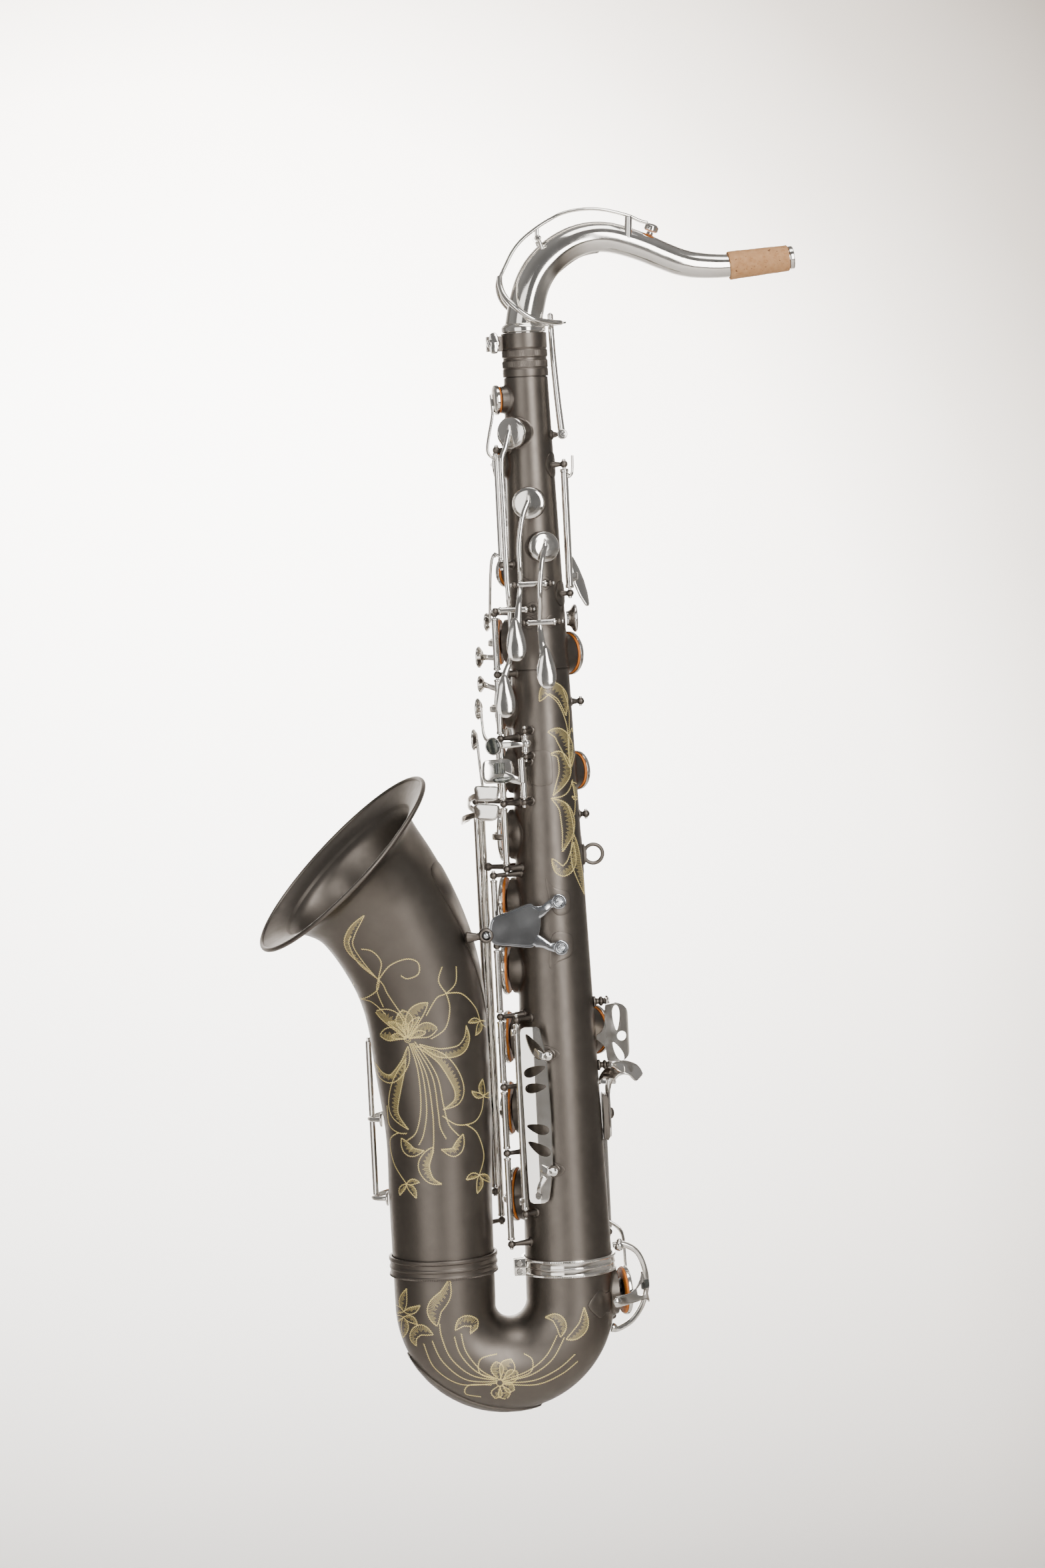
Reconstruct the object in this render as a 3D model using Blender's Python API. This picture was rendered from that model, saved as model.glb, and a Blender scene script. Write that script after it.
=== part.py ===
"""Tenor saxophone: body, bow, bell, neck, guards and the keywork on its hinge tubes.

The frame: the origin is the centre of the strap ring, +Z runs up the body tube, +X points to the
player and the mouthpiece, and -Y is the player's left. Lengths are in millimetres, and scaled to
metres when a mesh is made. Each key is drawn closed on its tone hole, then turned about its hinge to
the place where it rests.
"""
import math

import bmesh
import bpy
from mathutils import Matrix, Vector

MM = 0.001
GAP = 0.3             # clearance between pieces that touch
UP = Vector((0, 0, 1))

# Body tube: a vertical cone.
AXIS_X = -31.6        # X of its axis
TUBE_TOP = 352.0
TUBE_BOTTOM = -290.0
TAPER = 0.0246        # radius gained per unit of height lost
RADIUS_AT_322 = 15.85
WALL = 1.2

# Tone holes.
CHIMNEY = 3.5         # height of a chimney's rim over the tube
RIM = 2.0             # wall of a chimney
PAD_OVERLAP = 1.2     # how far the pad cup reaches past the chimney
PAD_THICK = 2.6
CUP_LIP = 1.5         # lip of the cup over the chimney's rim
CUP_BACK = 5.4        # back of the cup over the chimney's rim

# Hinges.
HINGE_RADIUS = 2.3
BALL_RADIUS = 2.7
STEM_RADIUS = 1.5
POST_STEP = BALL_RADIUS + GAP   # from a ball's centre to the end of its hinge tube

# Bow: half a ring in the XZ plane.
BOW_CENTRE = (-76.3, -315.2)
BOW_RADIUS = 44.7
BELL_X = -120.9
BELL_YAW = math.radians(9)      # the bell leans to the player's left
BELL_BOTTOM = -281.0

# Bell sections: X and Z of the centre, radius, and the direction of the axis as X and Z.
BELL_SECTIONS = [
    (-120.9, -281.0, 36.0, 0.0, 1.0),
    (-120.6, -236.0, 36.6, 0.0, 1.0),
    (-119.6, -191.0, 37.6, 0.0, 1.0),
    (-122.2, -141.0, 40.6, -0.06, 1.0),
    (-124.4, -107.0, 42.2, -0.13, 0.99),
    (-128.7, -82.5, 44.2, -0.20, 0.98),
    (-136.3, -59.0, 46.5, -0.33, 0.94),
    (-146.5, -37.0, 48.6, -0.45, 0.89),
    (-157.0, -20.0, 50.8, -0.58, 0.81),
    (-169.8, -6.0, 55.7, -0.68, 0.73),
    (-174.6, -1.2, 61.5, -0.695, 0.719),
    (-177.2, 1.5, 69.0, -0.695, 0.719),
    (-178.9, 3.3, 78.0, -0.695, 0.719),
    (-179.2, 3.6, 81.3, -0.695, 0.719),
]

# Neck centre line as X, Z and outer radius, from the tenon to the tip.
NECK_LINE = [
    (-31.6, 353.5, 13.8), (-31.6, 372.0, 13.8), (-31.2, 376.0, 12.0), (-28.6, 388.0, 11.9),
    (-24.2, 402.0, 11.6), (-17.4, 413.5, 11.3), (-7.0, 423.4, 10.9), (5.5, 430.4, 10.5),
    (18.4, 433.6, 10.1), (31.0, 433.2, 9.8), (44.0, 429.6, 9.4), (57.0, 424.5, 9.1),
    (69.4, 418.7, 8.8), (81.8, 413.6, 8.6), (95.0, 410.8, 8.4), (114.6, 409.7, 8.2),
    (138.0, 411.4, 7.9), (162.3, 413.6, 7.6),
]
CORK_SPAN = (116.0, 158.5)      # X of the cork's ends
CORK_RADII = (10.0, 9.1)

# Tone holes of the body tube: height, angle about the tube's axis, radius of the pad cup.
HOLES = {
    "palm_d_key": (299.5, -128.0, 11.3),
    "palm_eb_key": (250.0, -102.0, 11.3),
    "palm_f_key": (219.0, -80.0, 10.9),
    "front_f_key": (323.0, 186.0, 10.6),
    "high_e_key": (278.0, 162.0, 11.0),
    "side_c_key": (202.0, 140.0, 11.0),
    "side_bb_key": (108.0, 85.0, 14.5),
    "upper_b_key": (153.0, 160.0, 17.0),
    "upper_bis_key": (106.5, 160.0, 16.5),
    "upper_a_key": (62.0, 160.0, 17.5),
    "upper_g_key": (16.5, 160.0, 19.0),
    "lower_f_sharp_key": (-31.0, 158.0, 18.0),
    "lower_f_key": (-79.0, 160.0, 19.0),
    "lower_e_key": (-128.0, 160.0, 19.0),
    "lower_d_key": (-179.0, 160.0, 19.5),
    "low_c_sharp_key": (-241.0, 160.0, 19.5),
    "g_sharp_key": (142.4, 30.0, 15.6),
    "fork_f_sharp_key": (59.0, 30.0, 14.0),
    "low_eb_key": (-127.0, 30.0, 18.0),
}
LOW_C_HOLE = (-313.5, 2.0, 17.6)
BOW_WALL = 30.2       # distance from the tube's axis to the bow's wall at the low C hole

# The same for the bell, with the distance from the bell's axis to its wall.
BELL_HOLES = {
    "low_b_key": (-150.0, 104.0, 22.0, 40.2),
    "low_bb_key": (-213.0, 104.0, 22.5, 37.2),
}

# Hinge lines parallel to the tube, as X and Y.
UPPER_STACK = (AXIS_X - 32.0, -16.5)
LOWER_STACK = (AXIS_X - 41.9, -18.0)
C_SHARP_LINK = (AXIS_X - 31.4, -25.0)
FRONT_LINE = (AXIS_X - 24.5, -12.0)
HIGH_E_LINE = (AXIS_X - 14.0, 27.0)
SIDE_LINE = (AXIS_X - 1.0, 33.5)
BB_LINE = (AXIS_X - 18.0, 31.5)
G_SHARP_LINE = (AXIS_X + 13.2, 30.8)
EB_LINE = (AXIS_X + 17.9, 35.8)
LOW_C_LINE = (AXIS_X + 33.5, 31.0)
LOW_B_LINE = (-79.5, 22.0)
LOW_BB_LINE = (-75.2, 28.5)
OCTAVE_LINE = (AXIS_X + 22.5, -13.0)
TABLE_HINGE = (-50.0, -27.0)        # low C sharp touch of the left little finger's table
G_LEVER_HINGE = (-47.5, -27.5)

# Other pivots.
OCTAVE_ROCKER_HINGE = (-9.5, -13.0, 297.0)
NECK_KEY_HINGE = (-19.0, 0.0, 434.5)
NECK_PIVOT = (AXIS_X, 0, 361.0)
SCREW_REACH = 22.3    # of the receiver's clamp screw from the tube's axis

MATERIALS = {
    "black_nickel": ((0.10, 0.088, 0.078), 0.32, 1.0),
    "silver": ((0.72, 0.71, 0.69), 0.22, 1.0),
    "leather": ((0.50, 0.19, 0.05), 0.6, 0.0),
    "cork": ((0.56, 0.33, 0.15), 0.85, 0.0),
}


def clear_scene():
    for item in list(bpy.data.objects):
        bpy.data.objects.remove(item, do_unlink=True)


def material(name):
    """The named material, made once: colour, roughness, metallic."""
    made = bpy.data.materials.get(name)
    if made is None:
        colour, roughness, metallic = MATERIALS[name]
        made = bpy.data.materials.new(name)
        made.use_nodes = True
        shader = made.node_tree.nodes["Principled BSDF"]
        shader.inputs["Base Color"].default_value = (*colour, 1.0)
        shader.inputs["Roughness"].default_value = roughness
        shader.inputs["Metallic"].default_value = metallic
    return made


# ---------------------------------------------------------------- solids, in millimetres

def solid(verts, faces):
    """A scratch object from points in millimetres, with its faces turned outward."""
    mesh = bpy.data.meshes.new("scratch")
    mesh.from_pydata([Vector(v) * MM for v in verts], [], faces)
    shape = bmesh.new()
    shape.from_mesh(mesh)
    bmesh.ops.recalc_face_normals(shape, faces=shape.faces)
    shape.to_mesh(mesh)
    shape.free()
    item = bpy.data.objects.new("scratch", mesh)
    bpy.context.scene.collection.objects.link(item)
    return item


def across(direction):
    """Two unit vectors square to a direction."""
    d = Vector(direction).normalized()
    start = Vector((0, 1, 0)) if abs(d.y) < 0.9 else Vector((1, 0, 0))
    u = (start - d * start.dot(d)).normalized()
    return u, d.cross(u)


def loops_to_solid(rings, close_ends=True, closed_ring=False):
    """Skin equal rings of points, with flat ends or joined end to start."""
    count = len(rings[0])
    verts = [p for ring in rings for p in ring]
    faces = []
    spans = len(rings) if closed_ring else len(rings) - 1
    for i in range(spans):
        a = i * count
        b = ((i + 1) % len(rings)) * count
        for k in range(count):
            n = (k + 1) % count
            faces.append((a + k, a + n, b + n, b + k))
    if close_ends and not closed_ring:
        faces.append(tuple(range(count))[::-1])
        faces.append(tuple(range(len(verts) - count, len(verts))))
    return solid(verts, faces)


def tangents(path):
    out = []
    for i, here in enumerate(path):
        before = path[max(i - 1, 0)]
        after = path[min(i + 1, len(path) - 1)]
        out.append((Vector(after) - Vector(before)).normalized())
    return out


def rod(path, radius, sides=8):
    """A round bar along a path; the radius is one number or one for each point."""
    path = [Vector(p) for p in path]
    radii = radius if isinstance(radius, (list, tuple)) else [radius] * len(path)
    u, v = across(path[1] - path[0])
    rings = []
    for here, along, r in zip(path, tangents(path), radii):
        u = (u - along * u.dot(along)).normalized()
        v = along.cross(u)
        turns = [2 * math.pi * k / sides for k in range(sides)]
        rings.append([here + u * r * math.cos(t) + v * r * math.sin(t) for t in turns])
    return loops_to_solid(rings)


def strap(path, width, thick, face):
    """A flat bar along a path; face is the direction that its broad side looks to."""
    path = [Vector(p) for p in path]
    widths = width if isinstance(width, (list, tuple)) else [width] * len(path)
    rings = []
    for here, along, w in zip(path, tangents(path), widths):
        n = Vector(face) - along * Vector(face).dot(along)
        n.normalize()
        side = along.cross(n)
        corners = ((-1, -1), (1, -1), (1, 1), (-1, 1))
        rings.append([here + side * a * w / 2 + n * b * thick / 2 for a, b in corners])
    return loops_to_solid(rings)


def turned(profile, centre, axis, sides=16):
    """A turned solid: profile points are radius and height along the axis, ends on the axis."""
    u, v = across(axis)
    d = Vector(axis).normalized()
    verts = [Vector(centre) + d * profile[0][1]]
    for r, h in profile[1:-1]:
        for k in range(sides):
            t = 2 * math.pi * k / sides
            verts.append(Vector(centre) + d * h + (u * math.cos(t) + v * math.sin(t)) * r)
    verts.append(Vector(centre) + d * profile[-1][1])
    last = len(verts) - 1
    rows = len(profile) - 2
    faces = []
    for k in range(sides):
        n = (k + 1) % sides
        faces.append((0, 1 + n, 1 + k))
        faces.append((last, 1 + (rows - 1) * sides + k, 1 + (rows - 1) * sides + n))
        for i in range(rows - 1):
            a = 1 + i * sides
            b = a + sides
            faces.append((a + k, a + n, b + n, b + k))
    return solid(verts, faces)


def sides_for(radius):
    return 12 if radius < 13 else 16


def disc(centre, axis, radius, low, high, sides=16):
    return turned([(0, low), (radius, low), (radius, high), (0, high)], centre, axis, sides)


def hoop(profile, centre, axis, sides=24):
    """A turned ring with an open bore: the closed profile stays off the axis."""
    u, v = across(axis)
    d = Vector(axis).normalized()
    rings = []
    for k in range(sides):
        t = 2 * math.pi * k / sides
        out = u * math.cos(t) + v * math.sin(t)
        rings.append([Vector(centre) + d * h + out * r for r, h in profile])
    return loops_to_solid(rings, closed_ring=True)


def ball(centre, radius, sides=8):
    rows = sides // 2
    turns = [math.pi * k / rows for k in range(rows + 1)]
    profile = [(radius * math.sin(t), -radius * math.cos(t)) for t in turns]
    return turned(profile, centre, UP, sides)


def plate(outline, thick, centre, right, up):
    """An extruded outline, centred on its plane."""
    right = Vector(right).normalized()
    up = Vector(up).normalized()
    normal = right.cross(up)
    rings = []
    for side in (-0.5, 0.5):
        rings.append([Vector(centre) + right * x + up * y + normal * thick * side for x, y in outline])
    return loops_to_solid(rings)


def teardrop(length, width, steps=10):
    """An outline with one broad and one narrow end, long along its second axis."""
    points = []
    for k in range(steps):
        t = 2 * math.pi * k / steps
        y = math.cos(t) * length / 2
        x = math.sin(t) * width / 2 * (0.78 + 0.3 * math.cos(t))
        points.append((-x, -y))
    return points


# ---------------------------------------------------------------- joining and naming

def combine(base, others, operation):
    """Apply Booleans one after another, and drop the tools."""
    for other in others:
        step = base.modifiers.new("combine", "BOOLEAN")
        step.object = other
        step.operation = operation
        step.solver = "EXACT"
        graph = bpy.context.evaluated_depsgraph_get()
        result = bpy.data.meshes.new_from_object(base.evaluated_get(graph))
        base.modifiers.clear()
        base.data = result
        bpy.data.objects.remove(other, do_unlink=True)
    return base


def fuse(pieces, cuts=()):
    base = combine(pieces[0], pieces[1:], "UNION")
    return combine(base, list(cuts), "DIFFERENCE")


def finish(name, item, slot, origin=(0, 0, 0), turn=0.0, axis=UP):
    """Name a solid, turn it about its joint, and put its origin on the joint's axis."""
    origin = Vector(origin) * MM
    mesh = item.data
    spin = Matrix.Rotation(math.radians(turn), 4, Vector(axis))
    mesh.transform(spin @ Matrix.Translation(-origin))
    shape = bmesh.new()
    shape.from_mesh(mesh)
    bmesh.ops.remove_doubles(shape, verts=shape.verts, dist=0.00001)
    bmesh.ops.dissolve_degenerate(shape, edges=shape.edges, dist=0.00001)
    bmesh.ops.dissolve_limit(shape, angle_limit=math.radians(0.2), verts=shape.verts, edges=shape.edges)
    bmesh.ops.triangulate(shape, faces=[f for f in shape.faces if len(f.verts) > 4])
    bmesh.ops.recalc_face_normals(shape, faces=shape.faces)
    shape.to_mesh(mesh)
    shape.free()
    mesh.shade_smooth()
    mesh.set_sharp_from_angle(angle=math.radians(35))
    item.location = origin
    item.name = name
    mesh.name = name
    mesh.materials.clear()
    mesh.materials.append(material(slot))
    return item


# ---------------------------------------------------------------- places

def tube_radius(z):
    return RADIUS_AT_322 + (322.0 - z) * TAPER


def around(angle, distance, z):
    """A point at an angle about the body tube's axis; 0 is the player's side, +X."""
    t = math.radians(angle)
    return Vector((AXIS_X + distance * math.cos(t), distance * math.sin(t), z))


def outward(angle):
    t = math.radians(angle)
    return Vector((math.cos(t), math.sin(t), 0))


def bell_section(index):
    """Centre, radius and axis of a bell section, with the bell's yaw put in."""
    x, z, radius, nx, nz = BELL_SECTIONS[index]
    reach = x - BELL_X
    centre = Vector((BELL_X + reach * math.cos(BELL_YAW), reach * math.sin(BELL_YAW), z))
    along = Vector((nx * math.cos(BELL_YAW), nx * math.sin(BELL_YAW), nz)).normalized()
    return centre, radius, along


def bell_ring_points(index, shrink, sides):
    centre, radius, along = bell_section(index)
    u, v = across(along)
    turns = [2 * math.pi * k / sides for k in range(sides)]
    r = radius - shrink
    return [centre + u * r * math.cos(t) + v * r * math.sin(t) for t in turns]


def around_bell(angle, distance, z):
    t = math.radians(angle)
    return Vector((BELL_X + distance * math.cos(t), distance * math.sin(t), z))


def bow_point(angle):
    """A point on the bow's centre line; 0 is the body's side and 180 the bell's."""
    t = math.radians(angle)
    return Vector((BOW_CENTRE[0] + BOW_RADIUS * math.cos(t), 0, BOW_CENTRE[1] - BOW_RADIUS * math.sin(t)))


def bow_line(low_extra=0.0):
    """Centre line of the bow with its two short straights."""
    path = [Vector((AXIS_X, 0, TUBE_BOTTOM - GAP + low_extra))]
    path += [bow_point(a) for a in range(0, 181, 15)]
    path.append(Vector((BELL_X - 0.1, 0, BELL_BOTTOM - GAP + low_extra)))
    return path


def bow_radii(shrink=0.0):
    steps = len(bow_line())
    start = tube_radius(TUBE_BOTTOM)
    return [start + (36.0 - start) * k / (steps - 1) - shrink for k in range(steps)]


# ---------------------------------------------------------------- body, bow and bell

def chimney_solid(z, angle, cup_radius, centre_of=around, wall=None):
    radius = tube_radius(z) if wall is None else wall
    top = radius + CHIMNEY
    start = centre_of(angle, 0, z)
    return disc(start, outward(angle), cup_radius - PAD_OVERLAP, radius * 0.35, top,
                sides_for(cup_radius))


def chimney_cut(z, angle, cup_radius, centre_of=around, wall=None):
    radius = tube_radius(z) if wall is None else wall
    start = centre_of(angle, 0, z)
    cut_radius = cup_radius - PAD_OVERLAP - RIM
    return disc(start, outward(angle), cut_radius, radius * 0.3, radius + CHIMNEY + 3, sides_for(cup_radius))


def post(point, foot, size=1.0, elbow=None):
    """A ball post: a tapered stem from its foot to the ball, with an elbow if one is given."""
    point = Vector(point)
    foot = Vector(foot)
    bends = [Vector(elbow)] if elbow else []
    along = ((bends + [point])[0] - foot).normalized()
    radii = [2.6 * size] + [2.0 * size] * len(bends) + [STEM_RADIUS * size]
    stem = rod([foot - along * 0.8] + bends + [point], radii, 5)
    return fuse([stem, ball(point, BALL_RADIUS * size, 6)])


def tube_post(line, z, size=1.0):
    """A ball post on the body tube, under a hinge line at a height."""
    point = Vector((line[0], line[1], z))
    reach = Vector((line[0] - AXIS_X, line[1], 0))
    foot = Vector((AXIS_X, 0, z)) + reach.normalized() * (tube_radius(z) - 0.3)
    return post(point, foot, size)


# Ball posts of the body tube: hinge line and heights.
TUBE_POSTS = [
    (UPPER_STACK, (174.0, 131.0, 86.0, 40.0, -6.0)),
    (LOWER_STACK, (-10.0, -59.5, -110.0, -160.0, -207.0, -272.0)),
    (C_SHARP_LINK, (-112.0, -250.0)),
    (FRONT_LINE, (288.0, 207.5)),
    (HIGH_E_LINE, (292.0, 236.0)),
    (SIDE_LINE, (218.0, 150.0)),
    (BB_LINE, (128.0, 78.0)),
    (G_SHARP_LINE, (170.0, 125.0, 90.5, 28.0)),
    (EB_LINE, (-96.0, -196.0)),
    (LOW_C_LINE, (-202.0, -276.0)),
    (OCTAVE_LINE, (276.0, 185.5)),
    (LOW_B_LINE, (40.0,)),
    (LOW_BB_LINE, (40.0,)),
]
GUIDE_POSTS = (AXIS_X + 28.0, 2.0)      # two ball posts that hold no hinge


def body_tube():
    """The cone with its chimneys and ball posts, then its bore and tone holes."""
    levels = (TUBE_BOTTOM, TUBE_TOP)
    radii = [tube_radius(z) for z in levels]
    cone = rod([(AXIS_X, 0, z) for z in levels], radii, 28)
    sleeve = rod([(AXIS_X, 0, 338.3), (AXIS_X, 0, TUBE_TOP + 5)], [30, 30], 16)
    collar_cut = rod([(AXIS_X, 0, 338.0), (AXIS_X, 0, TUBE_TOP + 6)], [14.4, 14.4], 32)
    sleeve = fuse([sleeve], [collar_cut])
    pieces = [cone]
    pieces += [chimney_solid(*HOLES[name]) for name in HOLES]
    for line, heights in TUBE_POSTS:
        pieces += [tube_post(line, z) for z in heights]
    pieces += [palm_post(x, y, z) for x, y, z in PALM_POSTS]
    pieces.append(tube_post((AXIS_X - 41.3, 22.3), -7.0, 1.15))
    pieces += [tube_post(GUIDE_POSTS, z) for z in (108.6, 28.5)]
    pieces.append(tube_post((OCTAVE_ROCKER_HINGE[0], OCTAVE_ROCKER_HINGE[1] + 7.0), OCTAVE_ROCKER_HINGE[2]))
    pieces.append(lever_post(G_LEVER_HINGE, 91.0))
    pieces.append(lever_post(G_LEVER_HINGE, 73.0))
    pieces.append(lever_post(TABLE_HINGE, 69.0))
    pieces.append(lever_post(TABLE_HINGE, 41.0))
    bore = rod([(AXIS_X, 0, TUBE_BOTTOM - 5), (AXIS_X, 0, TUBE_TOP + 5)],
               [tube_radius(TUBE_BOTTOM - 5) - WALL, tube_radius(TUBE_TOP + 5) - WALL - 0.6], 28)
    holes = [chimney_cut(*HOLES[name]) for name in HOLES]
    item = fuse(pieces, [sleeve, bore] + holes)
    return finish("body_tube", item, "black_nickel")


def lever_post(line, z):
    return tube_post(line, z, 0.9)


def palm_post(x, y, z):
    point = Vector((x, y, z))
    reach = Vector((x - AXIS_X, y, 0))
    foot = Vector((AXIS_X, 0, z)) + reach.normalized() * (tube_radius(z) - 0.3)
    return post(point, foot, 0.85, point + Vector((0, 6.0, 0)))


def neck_receiver():
    profile = [(14.4 + GAP, 338.6), (16.0, 338.6), (16.0, 345.0), (15.5, 345.6), (15.5, 350.0),
               (16.0, 350.6), (16.0, 369.0), (14.1, 369.0), (14.1, 352.6), (14.4 + GAP, 352.6)]
    ring = hoop(profile, (AXIS_X, 0, 0), UP, 24)
    lug = plate([(-26.5, 357.0), (-15.2, 357.0), (-15.2, 367.5), (-26.5, 367.5)], 9.0,
                (AXIS_X, 0, 0), (1, 0, 0), UP)
    slot = plate([(-28, 355.0), (-10, 355.0), (-10, 372.0), (-28, 372.0)], 1.4,
                 (AXIS_X, 0, 0), (1, 0, 0), UP)
    screw_hole = disc((AXIS_X - SCREW_REACH, -8, 362.5), (0, 1, 0), 2.1, 0, 16, 10)
    item = fuse([ring, lug], [slot, screw_hole])
    return finish("neck_receiver", item, "black_nickel")


def receiver_screw():
    """Thumb screw through the receiver's lug, its head to the player's left."""
    start = Vector((AXIS_X - SCREW_REACH, 0, 362.5))
    shank = disc(start, (0, -1, 0), 1.7, -6.0, 5.5, 8)
    head = disc(start, (0, -1, 0), 4.6, 4.9, 8.6, 12)
    wing = plate([(-2.2, -7.0), (2.2, -7.0), (3.2, 0.0), (2.2, 7.0), (-2.2, 7.0), (-3.2, 0.0)], 2.6,
                 start + Vector((0, -9.5, 0)), (1, 0, 0), (0, 0, 1))
    return finish("receiver_screw", fuse([shank, head, wing]), "silver")


def bow():
    """The U-bend with the low C chimney and its guard plate."""
    tube = rod(bow_line(), bow_radii(), 22)
    inner = [Vector(p) for p in bow_line()]
    inner[0] += UP * 3
    inner[-1] += UP * 3
    bore = rod(inner, bow_radii(WALL), 22)
    z, angle, cup_radius = LOW_C_HOLE
    chimney = chimney_solid(z, angle, cup_radius, around, BOW_WALL)
    hole = chimney_cut(z, angle, cup_radius, around, BOW_WALL)
    guard = bow_guard_plate()
    foot = Vector((LOW_C_LINE[0], LOW_C_LINE[1], -337.0))
    reach = Vector((foot.x - AXIS_X, foot.y, 0)).normalized()
    base = Vector((AXIS_X, 0, -331.0)) + reach * 29.0
    low_post = post(foot, base)
    item = fuse([tube, guard, chimney, low_post], [bore, hole])
    return finish("bow", item, "black_nickel")


def bow_guard_plate():
    """A leaf along the outside of the bend."""
    rings = []
    for angle in range(75, 156, 10):
        share = (angle - 75) / 80.0
        width = 3.0 + 19.0 * math.sin(math.pi * share)
        centre = bow_point(angle)
        out = (centre - Vector((BOW_CENTRE[0], 0, BOW_CENTRE[1]))).normalized()
        radius = 33.6
        ring = []
        for lift, sign in ((-1.5, -1), (-1.5, 0), (-1.5, 1), (1.6, 1), (1.9, 0), (1.6, -1)):
            spread = width / radius * sign
            lift_to = radius + lift
            sideways = Vector((0, lift_to * math.sin(spread), 0))
            ring.append(centre + out * lift_to * math.cos(spread) + sideways)
        rings.append(ring)
    return loops_to_solid(rings)


def bow_clamp_ring():
    inner = tube_radius(-284.0) + GAP + 0.3
    outer = inner + 2.0
    profile = [(inner, -296.3), (outer + 0.5, -296.3), (outer + 0.5, -294.0), (outer - 0.4, -293.4),
               (outer - 0.4, -287.0), (outer + 0.5, -286.4), (outer + 0.5, -284.2), (inner, -284.2)]
    ring = hoop(profile, (AXIS_X, 0, 0), UP, 24)
    lug = plate([(-inner - 8.5, -296.3), (-inner - 0.5, -296.3), (-inner - 0.5, -284.2),
                 (-inner - 8.5, -284.2)], 8.0, (AXIS_X, -6.0, 0), (1, 0, 0), UP)
    screw = disc((AXIS_X - inner - 5.2, -6, -290.2), (0, -1, 0), 2.6, 3.5, 5.6, 10)
    return finish("bow_clamp_ring", fuse([ring, lug, screw]), "silver")


def bell_ring():
    inner = 36.0 + GAP + 0.2
    profile = [(inner, -291.5), (inner + 1.9, -291.5), (inner + 2.2, -289.0), (inner + 1.3, -288.0),
               (inner + 1.3, -283.0), (inner + 2.2, -282.0), (inner + 2.2, -277.5), (inner, -277.5)]
    ring = hoop(profile, (BELL_X, 0, 0), UP, 26)
    return finish("bell_ring", ring, "black_nickel")


def bell():
    """The bell: flared skin, chimneys, ball posts for the two long keys, then bore and holes."""
    sides = 26
    count = len(BELL_SECTIONS)
    skin = loops_to_solid([bell_ring_points(i, 0, sides) for i in range(count)])
    inner_rings = [[p - UP * 4 for p in bell_ring_points(0, WALL, sides)]]
    inner_rings += [bell_ring_points(i, WALL, sides) for i in range(count - 3)]
    lift = bell_section(count - 1)[2]
    for i, shrink in ((count - 3, 1.6), (count - 2, 2.0), (count - 1, 2.6)):
        inner_rings.append([p + lift * 1.3 for p in bell_ring_points(i, shrink, sides)])
    inner_rings.append([p + lift * 8 for p in bell_ring_points(count - 1, 2.0, sides)])
    bore = loops_to_solid(inner_rings)
    rim_centre, rim_radius, rim_axis = bell_section(count - 1)
    bead_turns = [2 * math.pi * k / 5 for k in range(5)]
    bead = hoop([(rim_radius - 0.6 + 1.7 * math.cos(t), 0.4 + 1.7 * math.sin(t)) for t in bead_turns],
                rim_centre, rim_axis, 26)
    pieces = [skin]
    cuts = [bore]
    for z, angle, cup_radius, wall in BELL_HOLES.values():
        pieces.append(chimney_solid(z, angle, cup_radius, around_bell, wall))
        cuts.append(chimney_cut(z, angle, cup_radius, around_bell, wall))
    for line, heights in ((LOW_B_LINE, (-240.0,)), (LOW_BB_LINE, (-262.0,))):
        for z in heights:
            reach = Vector((line[0] - BELL_X, line[1], 0)).normalized()
            foot = Vector((BELL_X, 0, z)) + reach * 35.4
            pieces.append(post((line[0], line[1], z), foot))
    item = fuse(pieces, cuts)
    item = fuse([item, bead])
    return finish("bell", item, "black_nickel")


# ---------------------------------------------------------------- fittings

def strap_ring():
    """The ring for the strap hook, with its foot on the tube."""
    turns = [2 * math.pi * k / 8 for k in range(8)]
    ring = hoop([(6.65 + 1.1 * math.cos(t), 1.1 * math.sin(t)) for t in turns], (0, 0, 0), (0, 1, 0), 20)
    edge = AXIS_X + tube_radius(0) + GAP + 0.1
    foot = plate([(edge, -7.0), (edge + 1.6, -6.0), (edge + 2.6, 0), (edge + 1.6, 6.0), (edge, 7.0)],
                 4.4, (0, 0, 0), (1, 0, 0), UP)
    opening = disc((0, 0, 0), (0, 1, 0), 5.5, -4, 4, 20)
    return finish("strap_ring", fuse([ring, foot], [opening]), "black_nickel")


def thumb_rest():
    """A flared saucer for the left thumb."""
    start = around(-2.0, tube_radius(167.5) + GAP + 0.5, 167.5)
    profile = [(0, 0), (5.2, 0), (5.2, 1.6), (9.2, 4.4), (9.8, 6.4), (8.4, 8.0), (0, 8.6)]
    return finish("thumb_rest", turned(profile, start, outward(-2.0), 12), "silver")


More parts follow.
